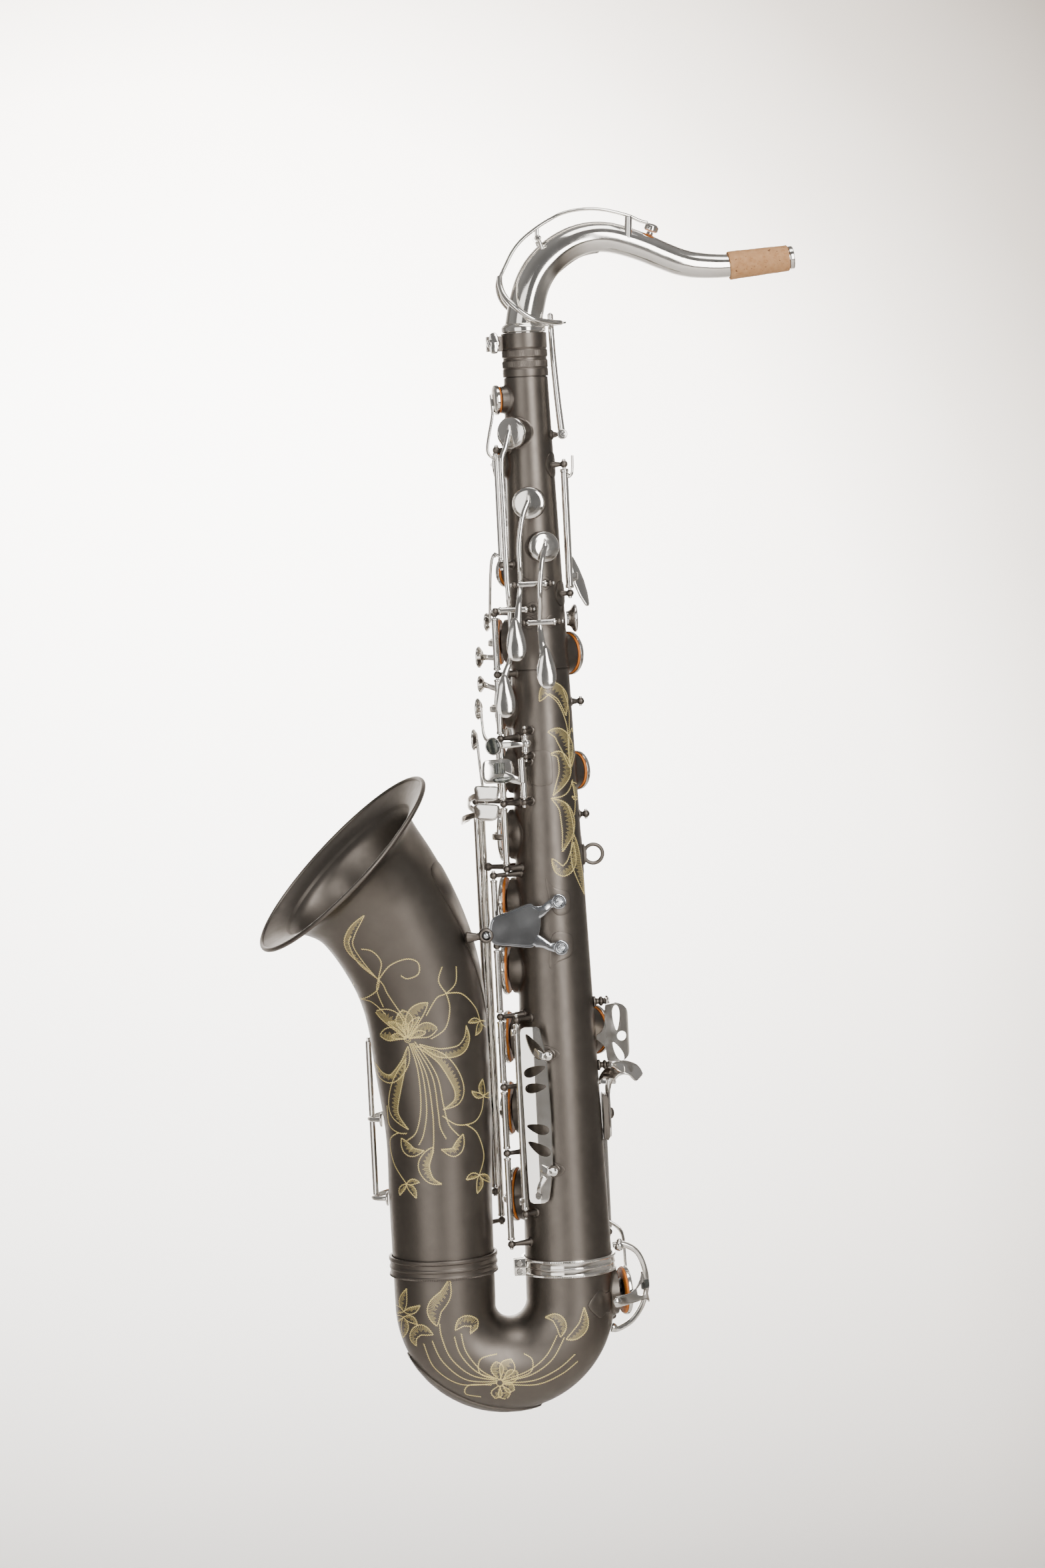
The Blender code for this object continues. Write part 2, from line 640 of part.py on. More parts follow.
def thumb_hook():
    """Base block on the tube, a sliding plate, its screw, and the tilted blade over the right thumb."""
    edge = AXIS_X + tube_radius(-203.0) + GAP + 0.1
    block = plate([(edge, -203.0), (edge + 4.2, -203.0), (edge + 4.2, -172.0), (edge, -172.0)], 13.0,
                  (0, 0, 0), (1, 0, 0), UP)
    slide = strap([(edge + 4.7, 0, -198.0), (edge + 4.7, 0, -160.2)], 11.6, 2.6, (1, 0, 0))
    path = [(edge + 4.8, 0, -163.0), (edge + 7.0, 0, -158.0), (edge + 11.0, 0, -154.8),
            (edge + 17.0, 0, -153.6), (edge + 23.5, 0, -156.0), (edge + 27.8, 0, -162.5)]
    blade = strap(path, [13.0, 14.0, 15.0, 16.0, 15.0, 10.0], 2.4, (0, -0.55, 1))
    screw_profile = [(0, 0), (4.2, 0), (4.0, 1.6), (2.2, 3.0), (0, 3.4)]
    screw = turned(screw_profile, (edge + 5.2, 0, -185.5), (1, 0, 0), 12)
    return finish("thumb_hook", fuse([block, slide, blade, screw]), "silver")


# The low E flat guard's sheet, from its tip at the tube round the cup: X from the tube's edge, Y, and
# the sheet's lower and upper edges.
EB_SHEET = [
    (0.0, -8.8, -131.4, -128.2), (2.0, -9.0, -133.3, -126.8), (4.0, -9.2, -135.2, -125.0),
    (6.0, -9.3, -138.0, -120.5), (7.4, -9.3, -147.2, -106.5), (14.0, -9.0, -148.0, -105.4),
    (19.4, -7.6, -147.0, -107.5), (22.2, -4.4, -144.5, -111.0), (23.6, 1.0, -140.0, -116.5),
    (24.0, 7.0, -136.0, -120.0),
]
EB_GUARD_POSTS = (-105.0, -150.4)


def eb_guard():
    """A curved sheet in front of the low E flat cup and round it, on two posts, with three windows."""
    edge = AXIS_X + tube_radius(-104.0) + GAP
    path = [Vector((edge + x, y, 0)) for x, y, low, high in EB_SHEET]
    rings = []
    for here, along, (x, y, low, high) in zip(path, tangents(path), EB_SHEET):
        n = along.cross(UP) * 0.9
        rings.append([here - n + UP * low, here - n + UP * high, here + n + UP * high, here + n + UP * low])
    pieces = [loops_to_solid(rings)]
    for z, ear in zip(EB_GUARD_POSTS, (-105.5, -149.5)):
        foot = AXIS_X + tube_radius(z) + GAP + 0.05
        pieces.append(disc((foot, -2.0, z), (1, 0, 0), 3.8, 0, edge + 10.6 - foot, 8))
        pieces.append(strap([(edge + 8.6, -9.0, ear), (edge + 8.6, -1.0, ear)], 7.0, 1.8, (1, 0, 0)))
    window = disc((edge + 18.0, -12.0, -129.7), (0, 1, 0), 3.4, 0, 10, 8)
    upper = plate(teardrop(18.0, 6.4, 8), 12.0, (edge + 14.5, -9.0, -116.5), (1, 0, 0), -UP)
    lower = plate(teardrop(15.0, 6.4, 8), 12.0, (edge + 14.8, -9.0, -140.5),
                  (0.89, 0, 0.45), (-0.45, 0, 0.89))
    return finish("eb_guard", fuse(pieces, [window, upper, lower]), "silver")


def low_c_guard():
    """A deep arch over the low C cup, with a broad spoke to its foot and a bumper."""
    edge = AXIS_X + tube_radius(-281.0)
    path = [(edge + 0.9, -4, -279.8), (edge + 9.0, -4, -279.8), (edge + 18.0, -3, -285.6),
            (edge + 22.9, -2, -297.0), (edge + 23.9, -2, -310.0), (edge + 20.5, -2, -323.6),
            (edge + 12.7, -3, -334.4), (edge + 4.0, -4, -339.4), (edge - 1.8, -4, -340.4)]
    arch = strap(path, 5.0, 3.6, (1, 0, 0.01))
    spoke = strap([(edge + 23.2, -4.0, -311.5), (edge + 16.5, -18.0, -313.5), (edge + 8.0, -23.8, -315.5),
                   (edge - 1.0, -26.3, -316.5)], [18.0, 9.5, 7.5, 8.5], 2.0, (0.3, -1, 0))
    bumper = disc((edge + 23.7, -2, -309.0), (1, 0, 0), 5.2, -3.2, 2.2, 10)
    return finish("low_c_guard", fuse([arch, spoke, bumper]), "silver")


def bell_key_guard():
    """A cage over the two bell cups, standing on the bell; it opens wider towards the hinges."""
    near, far = 74.0, 150.0

    def reach(angle):
        return 50.6 + 11.0 * (far - angle) / (far - near)

    heights = (-126.0, -181.5, -238.0)
    pieces = []
    for angle in (near, far):
        pieces.append(strap([around_bell(angle, reach(angle), z) for z in heights], 4.0, 2.0, outward(angle)))
    for z in heights:
        arc = [around_bell(a, reach(a), z) for a in (72, 88, 104, 120, 136, 152)]
        pieces.append(strap(arc, 4.0, 1.8, outward(110)))
    for z in heights[1:]:
        wall = 39.2 if z > -200 else 37.6
        foot = [around_bell(148, 50.6, z), around_bell(156, 50.4, z), around_bell(163, 46.0, z),
                around_bell(166, wall + 0.5, z)]
        pieces.append(rod(foot, 1.7, 6))
    return finish("bell_key_guard", fuse(pieces), "silver")


def side_guard():
    """A slim channel plate on two ball posts, with long windows."""
    angle = -125.0
    n = outward(angle)
    lift = tube_radius(-242.0) + 7.5
    path = [around(angle, lift, -117.0), around(angle, lift, -180.0), around(angle, lift, -242.0)]
    bar = strap(path, [12.0, 17.0, 12.0], 1.6, n)
    side = UP.cross(n)
    cuts = []
    for z in (-130.0, -150.0, -170.0, -190.0, -210.0, -229.0):
        cuts.append(plate(teardrop(15.0, 8.5, 6), 8.0, around(angle, lift, z), side, UP))
    posts = []
    for z in (-137.5, -219.5):
        foot = around(angle + 11, tube_radius(z) + GAP + 0.1, z)
        top = around(angle + 11, lift + 0.6, z)
        posts.append(rod([foot, top], [3.4, 2.6], 8))
        posts.append(ball(top + outward(angle) * 0.5, 3.6, 6))
    item = fuse([bar], cuts)
    return finish("side_guard", fuse([item] + posts), "silver")


def bell_brace():
    """A plate between bell and body: a ball foot on the bell, two ringed arms on the body."""
    y = -31.0
    outline = [(-77.0, -37.5), (-51.0, -29.5), (-46.0, -33.0), (-43.5, -45.0), (-52.0, -61.0),
               (-77.0, -57.0), (-80.0, -47.0)]
    body = plate(outline, 2.0, (0, y, 0), (1, 0, 0), UP)
    reach = tube_radius(-45.0)
    upper = [(-48.0, y, -33.5), (-38.0, y, -30.5), (-29.8, y, -29.5)]
    lower = [(-50.0, y, -57.5), (-40.0, y, -61.5), (-29.8, y, -62.0)]
    arms = [strap(upper, 5.0, 2.0, (0, 1, 0)), strap(lower, 5.0, 2.0, (0, 1, 0))]
    eyes = []
    for z in (-29.5, -62.0):
        eyes.append(disc((-29.8, 0, z), (0, -1, 0), 4.6, reach + GAP + 0.4, reach + 5.0, 14))
        eyes.append(disc((-29.8, 0, z), (0, -1, 0), 3.0, reach + 4.5, reach + 9.4, 12))
    ball_foot = ball((-82.0, y + 1.0, -50.5), 5.0, 10)
    stem = rod([(-82.0, y + 1.0, -50.5), (-90.0, -28.5, -51.5), (-95.0, -27.0, -51.5)], [3.0, 3.0, 3.6], 8)
    return finish("bell_brace", fuse([body] + arms + eyes + [ball_foot, stem]), "silver")


# ---------------------------------------------------------------- neck

def neck_points():
    return [Vector((x, 0, z)) for x, z, r in NECK_LINE]


def neck_tube():
    """The bent cone with its collar, octave pip, saddle and under-slung brace."""
    tube = rod(neck_points(), [r for x, z, r in NECK_LINE], 14)
    collar = turned([(0, 369.4), (15.2, 369.4), (15.2, 374.0), (14.0, 375.6), (0, 375.6)],
                    (AXIS_X, 0, 0), UP, 20)
    pip = disc((57.0, 0, 424.5), (0.36, 0, 0.93), 2.6, 6.0, 12.0, 10)
    guide = rod([(44.5, -7.0, 431.5), (45.5, -7.5, 446.5)], [2.0, 2.0], 8)
    saddle = [post((-19.0, side * 8.5, 434.5), (-15.0, side * 6.0, 422.5), 0.8) for side in (-1, 1)]
    brace = strap([(-13.2, 0, 404.0), (-8.5, 0, 408.0), (2.0, 0, 416.2), (12.0, 0, 421.6),
                   (24.0, 0, 423.2)], 4.5, 2.4, (0.6, 0, -0.8))
    bore_line = neck_points()
    bore_line[0] -= UP * 2
    bore_line[-1] += Vector((3, 0, 0.3))
    bore = rod(bore_line, [r - 1.4 for x, z, r in NECK_LINE], 14)
    pip_hole = disc((57.0, 0, 424.5), (0.36, 0, 0.93), 1.0, 4.0, 13.0, 8)
    item = fuse([tube, collar, brace, pip, guide] + saddle, [bore, pip_hole])
    return finish("neck_tube", item, "silver", NECK_PIVOT)


def neck_cork():
    """The cork sleeve; the neck's wall runs on inside it and shows as a ring at the tip."""
    a = Vector((CORK_SPAN[0], 0, 409.8))
    b = Vector((CORK_SPAN[1], 0, 413.3))
    axis = (b - a).normalized()
    length = (b - a).length
    profile = [(8.2 + GAP + 0.2, 0), (CORK_RADII[0] - 0.4, 0), (CORK_RADII[0], 0.8),
               (CORK_RADII[1], length - 0.6), (CORK_RADII[1] - 0.4, length), (7.65 + GAP + 0.3, length)]
    return finish("neck_cork", hoop(profile, a, axis, 24), "cork", NECK_PIVOT)


def neck_octave_key():
    """A curved bar over the neck: cup at one end, a loop round the tenon at the other."""
    bar_line = [(60.0, 0, 442.2), (54.2, 0, 443.9), (45.5, 0, 448.0), (28.8, 0, 452.6),
                (14.3, 0, 453.6), (0.5, 0, 451.6), (-9.0, 0, 447.6), (-19.0, 0, 442.0),
                (-29.5, 0, 434.3), (-36.8, 0, 426.0), (-43.0, 0, 415.0), (-46.8, 0, 408.0)]
    widths = [4.0, 4.0, 4.5, 6.0, 6.5, 6.0, 5.5, 6.0, 6.0, 6.0, 6.5, 7.0]
    bar = strap(bar_line, widths, 1.8, (0.01, 0, 1))
    hinge = rod([(-19.0, -8.5 + POST_STEP * 0.8, 434.5), (-19.0, 8.5 - POST_STEP * 0.8, 434.5)], 2.3, 10)
    web = strap([(-19.0, 0, 434.5), (-19.0, 0, 442.0)], 5.0, 3.0, (1, 0, 0))
    cup = turned([(0, 0.6), (4.6, 0.6), (5.0, 1.2), (5.0, 4.2), (3.2, 5.6), (0, 6.2)],
                 Vector((57.0, 0, 424.5)) + Vector((0.36, 0, 0.93)) * 12.0, (0.36, 0, 0.93), 14)
    pieces = [bar, web, hinge, cup]
    for side in (-1, 1):
        loop = [(-46.6, side * 1.0, 409.0), (-47.2, side * 8.0, 402.5), (-45.0, side * 15.0, 394.5),
                (-39.0, side * 19.5, 387.0), (-31.0, side * 20.5, 380.5), (-23.0, side * 19.0, 377.0),
                (-12.4, side * 13.8, 375.3), (-6.4, side * 6.5, 375.0), (-5.2, side * -0.4, 375.0)]
        pieces.append(rod(loop, 1.5, 6))
    tab = strap([(-6.4, 0, 375.0), (-1.5, 0, 375.2)], 6.0, 2.0, UP)
    pieces.append(tab)
    return finish("neck_octave_key", fuse(pieces), "silver", NECK_KEY_HINGE)


# ---------------------------------------------------------------- keys

def cup_piece(centre, n, radius, with_pad):
    """A key cup over a tone hole, hollow for a pad of its own or filled by one."""
    c = Vector(centre)
    if with_pad:
        profile = [(0, PAD_THICK + 0.6), (radius - 0.8, PAD_THICK + 0.6), (radius - 0.8, CUP_LIP),
                   (radius, CUP_LIP), (radius, CUP_BACK - 1.5), (radius * 0.62, CUP_BACK),
                   (0, CUP_BACK + 0.5)]
    else:
        profile = [(0, GAP), (radius - 1.0, GAP), (radius - 0.9, CUP_LIP), (radius, CUP_LIP),
                   (radius, CUP_BACK - 1.5), (radius * 0.62, CUP_BACK), (0, CUP_BACK + 0.5)]
    return turned(profile, c, n, sides_for(radius))


def pad_piece(centre, n, radius):
    r = radius - 0.8 - GAP
    profile = [(0, GAP), (r - 0.7, GAP), (r, GAP + 0.7), (r, PAD_THICK + GAP), (0, PAD_THICK + GAP)]
    return turned(profile, Vector(centre), n, sides_for(radius))


def seat(name):
    """Centre of a tone hole's rim and the way it faces."""
    if name in BELL_HOLES:
        z, angle, radius, wall = BELL_HOLES[name]
        return around_bell(angle, wall + CHIMNEY, z), outward(angle), radius
    if name == "low_c_key":
        z, angle, radius = LOW_C_HOLE
        return around(angle, BOW_WALL + CHIMNEY, z), outward(angle), radius
    z, angle, radius = HOLES[name]
    return around(angle, tube_radius(z) + CHIMNEY, z), outward(angle), radius


def cup_arm(hinge, centre, n, radius, z_hinge, via=None):
    """A flat arm from a hinge tube, over the cup's rim, to the cup's middle."""
    start = Vector((hinge[0], hinge[1], z_hinge))
    rise = centre + n * (CUP_BACK + 1.2)
    flat = start - centre
    flat -= n * flat.dot(n)
    edge = rise + flat.normalized() * (radius + 1.0)
    inner = centre + n * (CUP_BACK + 0.6)
    path = [start, edge, inner, inner - flat.normalized() * 3.0]
    widths = [4.5, 5.0, 7.0, 4.0]
    if via:
        path.insert(1, Vector(via))
        widths.insert(1, 4.5)
    return strap(path, widths, 2.0, n)


def opening_sign(hinge, centre, n):
    """+1 if a positive turn about +Z lifts the cup off its tone hole."""
    reach = Vector((centre.x - hinge[0], centre.y - hinge[1], 0))
    return 1.0 if UP.cross(reach).dot(n) > 0 else -1.0


# Keys on hinges parallel to the tube. line: X and Y of the hinge; span: the hinge tube's ends;
# arm: where the cup's arm leaves the tube; open: how far the key rests open, in degrees; travel: how
# far it moves, in degrees; pad: whether the pad is a piece of its own; touch: one of the shapes below.
KEYS = {
    "front_f_key": dict(line=FRONT_LINE, span=(210.5, 285.0), arm=281.0, open=0, travel=7, pad=False,
                        via=(-62.5, -13.0, 288.0),
                        touch=("pearl", (-66.5, 4.0, 167.5), 213.0, 6.6, (-63.0, -9.0, 211.0))),
    "high_e_key": dict(line=HIGH_E_LINE, span=(239.0, 289.0), arm=278.0, open=0, travel=8, pad=False,
                       touch=("paddle", (-40.0, 39.0, 246.0), 244.0, 22)),
    "side_c_key": dict(line=SIDE_LINE, span=(153.0, 215.0), arm=202.0, open=0, travel=8, pad=False,
                       touch=("paddle", (-24.0, 42.0, 164.0), 158.0, 22)),
    "side_bb_key": dict(line=BB_LINE, span=(81.0, 125.0), arm=108.0, open=0, travel=8, pad=False,
                        touch=("paddle", (-52.0, 41.5, 92.0), 86.0, 22)),
    "upper_b_key": dict(line=UPPER_STACK, span=(134.0, 171.0), arm=153.0, open=6, travel=6, pad=True,
                        touch=("pearl", (-70.5, 8.0, 143.0), 143.0, 7.6)),
    "upper_bis_key": dict(line=UPPER_STACK, span=(89.0, 128.0), arm=106.5, open=6, travel=6, pad=True,
                          touch=("pearl", (-70.5, 8.0, 124.0), 121.0, 6.0)),
    "upper_a_key": dict(line=UPPER_STACK, span=(43.0, 83.0), arm=62.0, open=6, travel=6, pad=True,
                        touch=("pearl", (-73.0, 8.0, 106.5), 80.5, 7.6, (-73.5, -11.0, 87.0))),
    "upper_g_key": dict(line=UPPER_STACK, span=(-3.0, 37.0), arm=16.5, open=6, travel=6, pad=True,
                        touch=("pearl", (-77.5, 6.0, 85.0), 34.0, 7.6, (-74.5, -8.0, 42.0))),
    "lower_f_sharp_key": dict(line=LOWER_STACK, span=(-56.5, -13.0), arm=-31.0, open=5.5, travel=5.5,
                              pad=True, touch=None),
    "lower_f_key": dict(line=LOWER_STACK, span=(-107.0, -62.5), arm=-79.0, open=5.5, travel=5.5, pad=True,
                        touch=("seat",)),
    "lower_e_key": dict(line=LOWER_STACK, span=(-157.0, -113.0), arm=-128.0, open=5.5, travel=5.5, pad=True,
                        touch=("seat",)),
    "lower_d_key": dict(line=LOWER_STACK, span=(-204.0, -163.0), arm=-179.0, open=5.5, travel=5.5, pad=True,
                        touch=("seat",)),
    "low_c_sharp_key": dict(line=LOWER_STACK, span=(-269.0, -210.0), arm=-241.0, open=0, travel=5.5,
                            pad=True, touch=None),
    "g_sharp_key": dict(line=G_SHARP_LINE, span=(128.0, 167.0), arm=143.0, open=0, travel=8, pad=True,
                        touch=None),
    "fork_f_sharp_key": dict(line=G_SHARP_LINE, span=(31.0, 87.5), arm=59.0, open=0, travel=8, pad=False,
                             touch=("paddle", (-21.6, 42.0, 38.0), 36.0, 20)),
    "low_eb_key": dict(line=EB_LINE, span=(-193.0, -99.0), arm=-127.0, open=0, travel=8, pad=True,
                       touch=("paddle", (-14.0, 44.5, -184.0), -186.0, 24)),
    "low_c_key": dict(line=LOW_C_LINE, span=(-273.0, -205.0), arm=-268.0, open=6, travel=6, pad=True,
                      via=(10.5, 27.0, -277.0),
                      touch=("paddle", (-14.0, 42.0, -214.0), -210.0, 24)),
    "low_b_key": dict(line=LOW_B_LINE, span=(-237.0, 37.0), arm=-150.0, open=5, travel=5, pad=False,
                      touch=None),
    "low_bb_key": dict(line=LOW_BB_LINE, span=(-259.0, 37.0), arm=-213.0, open=5, travel=5, pad=False,
                       touch=None),
}


def pearl_dish(place, out, size):
    profile = [(0, -1.8), (size * 0.6, -1.8), (size, 0.4), (size - 1.2, 1.8), (0, 1.0)]
    return turned(profile, place, out, 8)


def touch_piece(line, touch):
    """The finger's place: a pearl in its dish, or a long paddle, with the arm to the hinge tube."""
    kind, place, z_arm, size = touch[:4]
    place = Vector(place)
    start = Vector((line[0], line[1], z_arm))
    out = Vector((place.x - AXIS_X, place.y, 0)).normalized()
    if kind == "pearl":
        under = place - out * 1.4
        bend = Vector(touch[4]) if len(touch) > 4 else start.lerp(under, 0.5) + out * 0.8
        arm = strap([start, bend, under], 4.5, 2.0, out)
        return [pearl_dish(place, out, size), arm]
    paddle = plate(teardrop(size, size * 0.45), 2.2, place, UP.cross(out), UP)
    arm = strap([start, place], 4.0, 2.0, out)
    return [paddle, arm]


def rod_key(name, data):
    line = data["line"]
    centre, n, radius = seat(name)
    low, high = data["span"]
    tube = rod([(line[0], line[1], low), (line[0], line[1], high)], HINGE_RADIUS, 8)
    pieces = [tube, cup_piece(centre, n, radius, data["pad"]),
              cup_arm(line, centre, n, radius, data["arm"], data.get("via"))]
    if data["touch"] == ("seat",):
        pieces.append(pearl_dish(centre + n * (CUP_BACK + 2.0), n, 7.6))
    elif data["touch"]:
        pieces += touch_piece(line, data["touch"])
    if name == "low_b_key":
        pieces += low_b_touch()
    if name == "low_bb_key":
        pieces += low_bb_touch()
    turn = data["open"] * opening_sign(line, centre, n)
    origin = (line[0], line[1], centre.z)
    finish(name, fuse(pieces), "silver", origin, turn)
    if data["pad"]:
        finish(name.replace("_key", "_pad"), pad_piece(centre, n, radius), "leather", origin, turn)


def low_b_touch():
    """Arm round the stack keys to the upper plate of the table."""
    x, y = LOW_B_LINE
    arm = strap([(x, y, 33.0), (-84.5, 8.0, 38.0), (-84.0, -9.0, 44.0), (-77.0, -21.0, 48.0)], 5.0, 2.0,
                (-1, -0.3, 0))
    touch = plate([(-8, -5), (8, -5), (9, 3), (6, 5), (-8, 5)], 2.4, (-72.0, -25.0, 49.0), (1, -0.35, 0), UP)
    return [arm, touch]


def low_bb_touch():
    """Arm outside the low B tube to the lower plate of the table."""
    x, y = LOW_BB_LINE
    arm = strap([(x, y, 32.0), (-84.5, 29.0, 28.0), (-89.5, 8.0, 27.0), (-87.5, -11.0, 31.0),
                 (-77.0, -22.5, 34.5)], 5.0, 2.0, (-1, -0.1, 0))
    touch = plate([(-8, -6), (8, -6), (9, 3), (6, 6), (-8, 6)], 2.4, (-72.0, -25.5, 35.5), (1, -0.35, 0), UP)
    return [arm, touch]


# ---------------------------------------------------------------- palm keys

# Hinges across the tube's left face: Y, Z, X of the two ball posts.
PALM = {
    "palm_d_key": dict(y=-27.0, z=176.0, ends=(-64.0, -39.0), travel=8),
    "palm_eb_key": dict(y=-27.5, z=193.5, ends=(-49.8, -24.6), travel=8),
    "palm_f_key": dict(y=-27.0, z=166.5, ends=(-44.4, -19.4), travel=8),
}
PALM_POSTS = [(x, item["y"], item["z"]) for item in PALM.values() for x in item["ends"]]

PALM_ARMS = {
    "palm_d_key": [(-51.0, -23.8, 289.0), (-54.4, -26.0, 279.0), (-54.6, -27.5, 222.0),
                   (-54.8, -29.0, 199.0), (-54.4, -29.0, 186.0), (-54.0, -27.5, 176.0),
                   (-54.0, -30.5, 160.0), (-55.5, -32.0, 143.0), (-60.5, -35.0, 130.0),
                   (-61.5, -37.5, 120.0)],
    "palm_eb_key": [(-42.0, -29.0, 240.0), (-45.2, -29.8, 205.0), (-45.4, -27.5, 193.5),
                    (-47.2, -33.5, 184.0), (-49.0, -37.0, 174.0), (-51.5, -40.0, 160.0)],
    "palm_f_key": [(-30.0, -32.5, 209.0), (-32.6, -35.0, 193.0), (-33.0, -33.5, 180.0),
                   (-33.2, -27.0, 166.5), (-32.8, -32.0, 152.0), (-31.5, -35.5, 140.0)],
}
PALM_TOUCH = {
    "palm_d_key": (-61.0, -38.5, 117.0),
    "palm_eb_key": (-51.8, -41.0, 156.0),
    "palm_f_key": (-31.2, -37.0, 135.5),
}


def palm_key(name, data):
    centre, n, radius = seat(name)
    step = POST_STEP * 0.85
    hinge = rod([(data["ends"][0] + step, data["y"], data["z"]),
                 (data["ends"][1] - step, data["y"], data["z"])], HINGE_RADIUS, 8)
    top = centre + n * (CUP_BACK + 0.3)
    arm = strap([top + UP * 4.0, top] + PALM_ARMS[name], 3.6, 2.4, (0, -1, 0.01))
    place = Vector(PALM_TOUCH[name])
    pad = plate(teardrop(30.0, 15.0, 12), 2.4, place, (1, 0, 0), (0, 0.12, 1))
    middle = ((data["ends"][0] + data["ends"][1]) / 2, data["y"], data["z"])
    item = fuse([hinge, cup_piece(centre, n, radius, False), arm, pad])
    finish(name, item, "silver", middle)


# ---------------------------------------------------------------- octave, table and links

def octave_lever():
    """Hinge tube with the curved touch for the left thumb."""
    x, y = OCTAVE_LINE
    tube = rod([(x, y, 189.0), (x, y, 272.8)], 2.6, 10)
    touch = strap([(3.6, -1.0, 211.0), (1.0, -1.0, 205.0), (-2.0, -1.5, 197.0), (0.5, -1.5, 188.5),
                   (4.6, -1.0, 184.5)], [11, 14, 15, 14, 11], 2.2, (1, 0, 0.01))
    arm = strap([(x, y, 196.0), (-4.0, -8.0, 197.0), (-2.0, -1.5, 197.0)], 6.0, 2.2, (1, -0.4, 0))
    tail = strap([(x, y, 268.0), (x + 5.0, y - 1.0, 269.0), (x + 6.0, y - 1.0, 282.0)],
                 4.0, 2.0, (1, 0, 0.01))
    return finish("octave_lever", fuse([tube, touch, arm, tail]), "silver", (x, y, 230.0))


def octave_rocker():
    """The rocker that carries the lever's motion up to the neck's loop."""
    x, y, z = OCTAVE_ROCKER_HINGE
    hub = rod([(x, y - 4.0, z), (x, y + 4.0, z)], 3.6, 12)
    stem = rod([(x, y, z), (-11.2, -12.0, 320.0), (-12.4, -10.0, 345.0), (-12.6, -6.0, 362.0),
                (-12.6, -3.0, 381.0)], [2.2, 2.0, 2.0, 1.9, 1.8], 8)
    return finish("octave_rocker", fuse([hub, stem]), "silver", OCTAVE_ROCKER_HINGE)


def g_sharp_lever():
    """Pearl button on a short lever."""
    x, y = G_LEVER_HINGE
    tube = rod([(x, y, 75.8), (x, y, 88.2)], HINGE_RADIUS, 8)
    button = turned([(0, -2.0), (4.0, -2.0), (6.2, 0.0), (6.2, 1.4), (4.8, 1.8), (4.6, 2.6), (0, 2.2)],
                    (-69.5, -25.0, 81.5), (-0.55, -0.83, 0), 14)
    arm = strap([(x, y, 82.0), (-57.0, -27.5, 82.0), (-68.5, -23.6, 81.5)], 5.0, 2.0, (-0.4, -0.9, 0))
    return finish("g_sharp_lever", fuse([tube, button, arm]), "silver", (x, y, 82.0))


def low_c_sharp_touch():
    """Touch plate of the table, over its own short hinge."""
    x, y = TABLE_HINGE
    tube = rod([(x, y, 43.8), (x, y, 66.2)], HINGE_RADIUS, 8)
    plate_outline = [(-11, -8), (9, -8), (11, -4), (11, 5), (7, 8), (-9, 8), (-11.5, 4)]
    touch = plate(plate_outline, 2.4, (-67.5, -27.5, 64.0), (1, 0.25, 0), UP)
    arm = strap([(x, y, 56.0), (-57.0, -28.5, 58.0), (-64.0, -27.0, 61.0)], 6.0, 2.2, (-0.2, -1, 0))
    return finish("low_c_sharp_touch", fuse([tube, touch, arm]), "silver", (x, y, 55.0))


def low_c_sharp_link():
    """Hinge tube that carries the touch's motion down to the low C sharp cup."""
    x, y = C_SHARP_LINK
    tube = rod([(x, y, -247.0), (x, y, -115.0)], HINGE_RADIUS, 8)
    foot = strap([(x, y, -240.0), (x - 4.5, y - 5.0, -240.0)], 5.0, 2.0, (0.5, -0.8, 0))
    top = strap([(x, y, -120.0), (x - 4.5, y - 5.0, -120.0)], 5.0, 2.0, (0.5, -0.8, 0))
    return finish("low_c_sharp_link", fuse([tube, foot, top]), "silver", (x, y, -180.0))


def main():
    clear_scene()
    body_tube()
    neck_receiver()
    receiver_screw()
    bow()
    bow_clamp_ring()
    bell()
    bell_ring()
    bell_brace()
    strap_ring()
    thumb_rest()
    thumb_hook()
    eb_guard()
    low_c_guard()
    bell_key_guard()
    side_guard()
    neck_tube()
    neck_cork()
    neck_octave_key()
    for name, data in KEYS.items():
        rod_key(name, data)
    for name, data in PALM.items():
        palm_key(name, data)
    octave_lever()
    octave_rocker()
    g_sharp_lever()
    low_c_sharp_touch()
    low_c_sharp_link()


main()
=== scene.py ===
import math
import random

import bmesh
import bpy
from mathutils import Matrix, Quaternion, Vector
from mathutils.bvhtree import BVHTree


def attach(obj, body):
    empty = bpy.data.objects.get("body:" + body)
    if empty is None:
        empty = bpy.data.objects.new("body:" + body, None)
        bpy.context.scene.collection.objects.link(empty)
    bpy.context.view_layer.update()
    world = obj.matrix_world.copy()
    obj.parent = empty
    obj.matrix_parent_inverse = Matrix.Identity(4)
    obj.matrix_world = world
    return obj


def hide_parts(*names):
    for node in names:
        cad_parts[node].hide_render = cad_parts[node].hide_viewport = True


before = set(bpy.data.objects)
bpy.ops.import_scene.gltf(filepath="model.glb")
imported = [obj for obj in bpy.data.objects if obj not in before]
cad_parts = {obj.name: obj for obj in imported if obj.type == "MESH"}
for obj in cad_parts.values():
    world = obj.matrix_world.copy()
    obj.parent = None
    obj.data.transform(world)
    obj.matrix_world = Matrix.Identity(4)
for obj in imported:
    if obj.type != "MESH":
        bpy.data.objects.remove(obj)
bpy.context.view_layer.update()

# The frame: the origin is the centre of the strap ring, +Z runs up the body tube, +X points to the
# player, and -Y is the player's left. Shapes are worked out in millimetres.
MM = 0.001
GAP = 0.3      # the clearance between one solid and the next
UP = Vector((0, 0, 1))

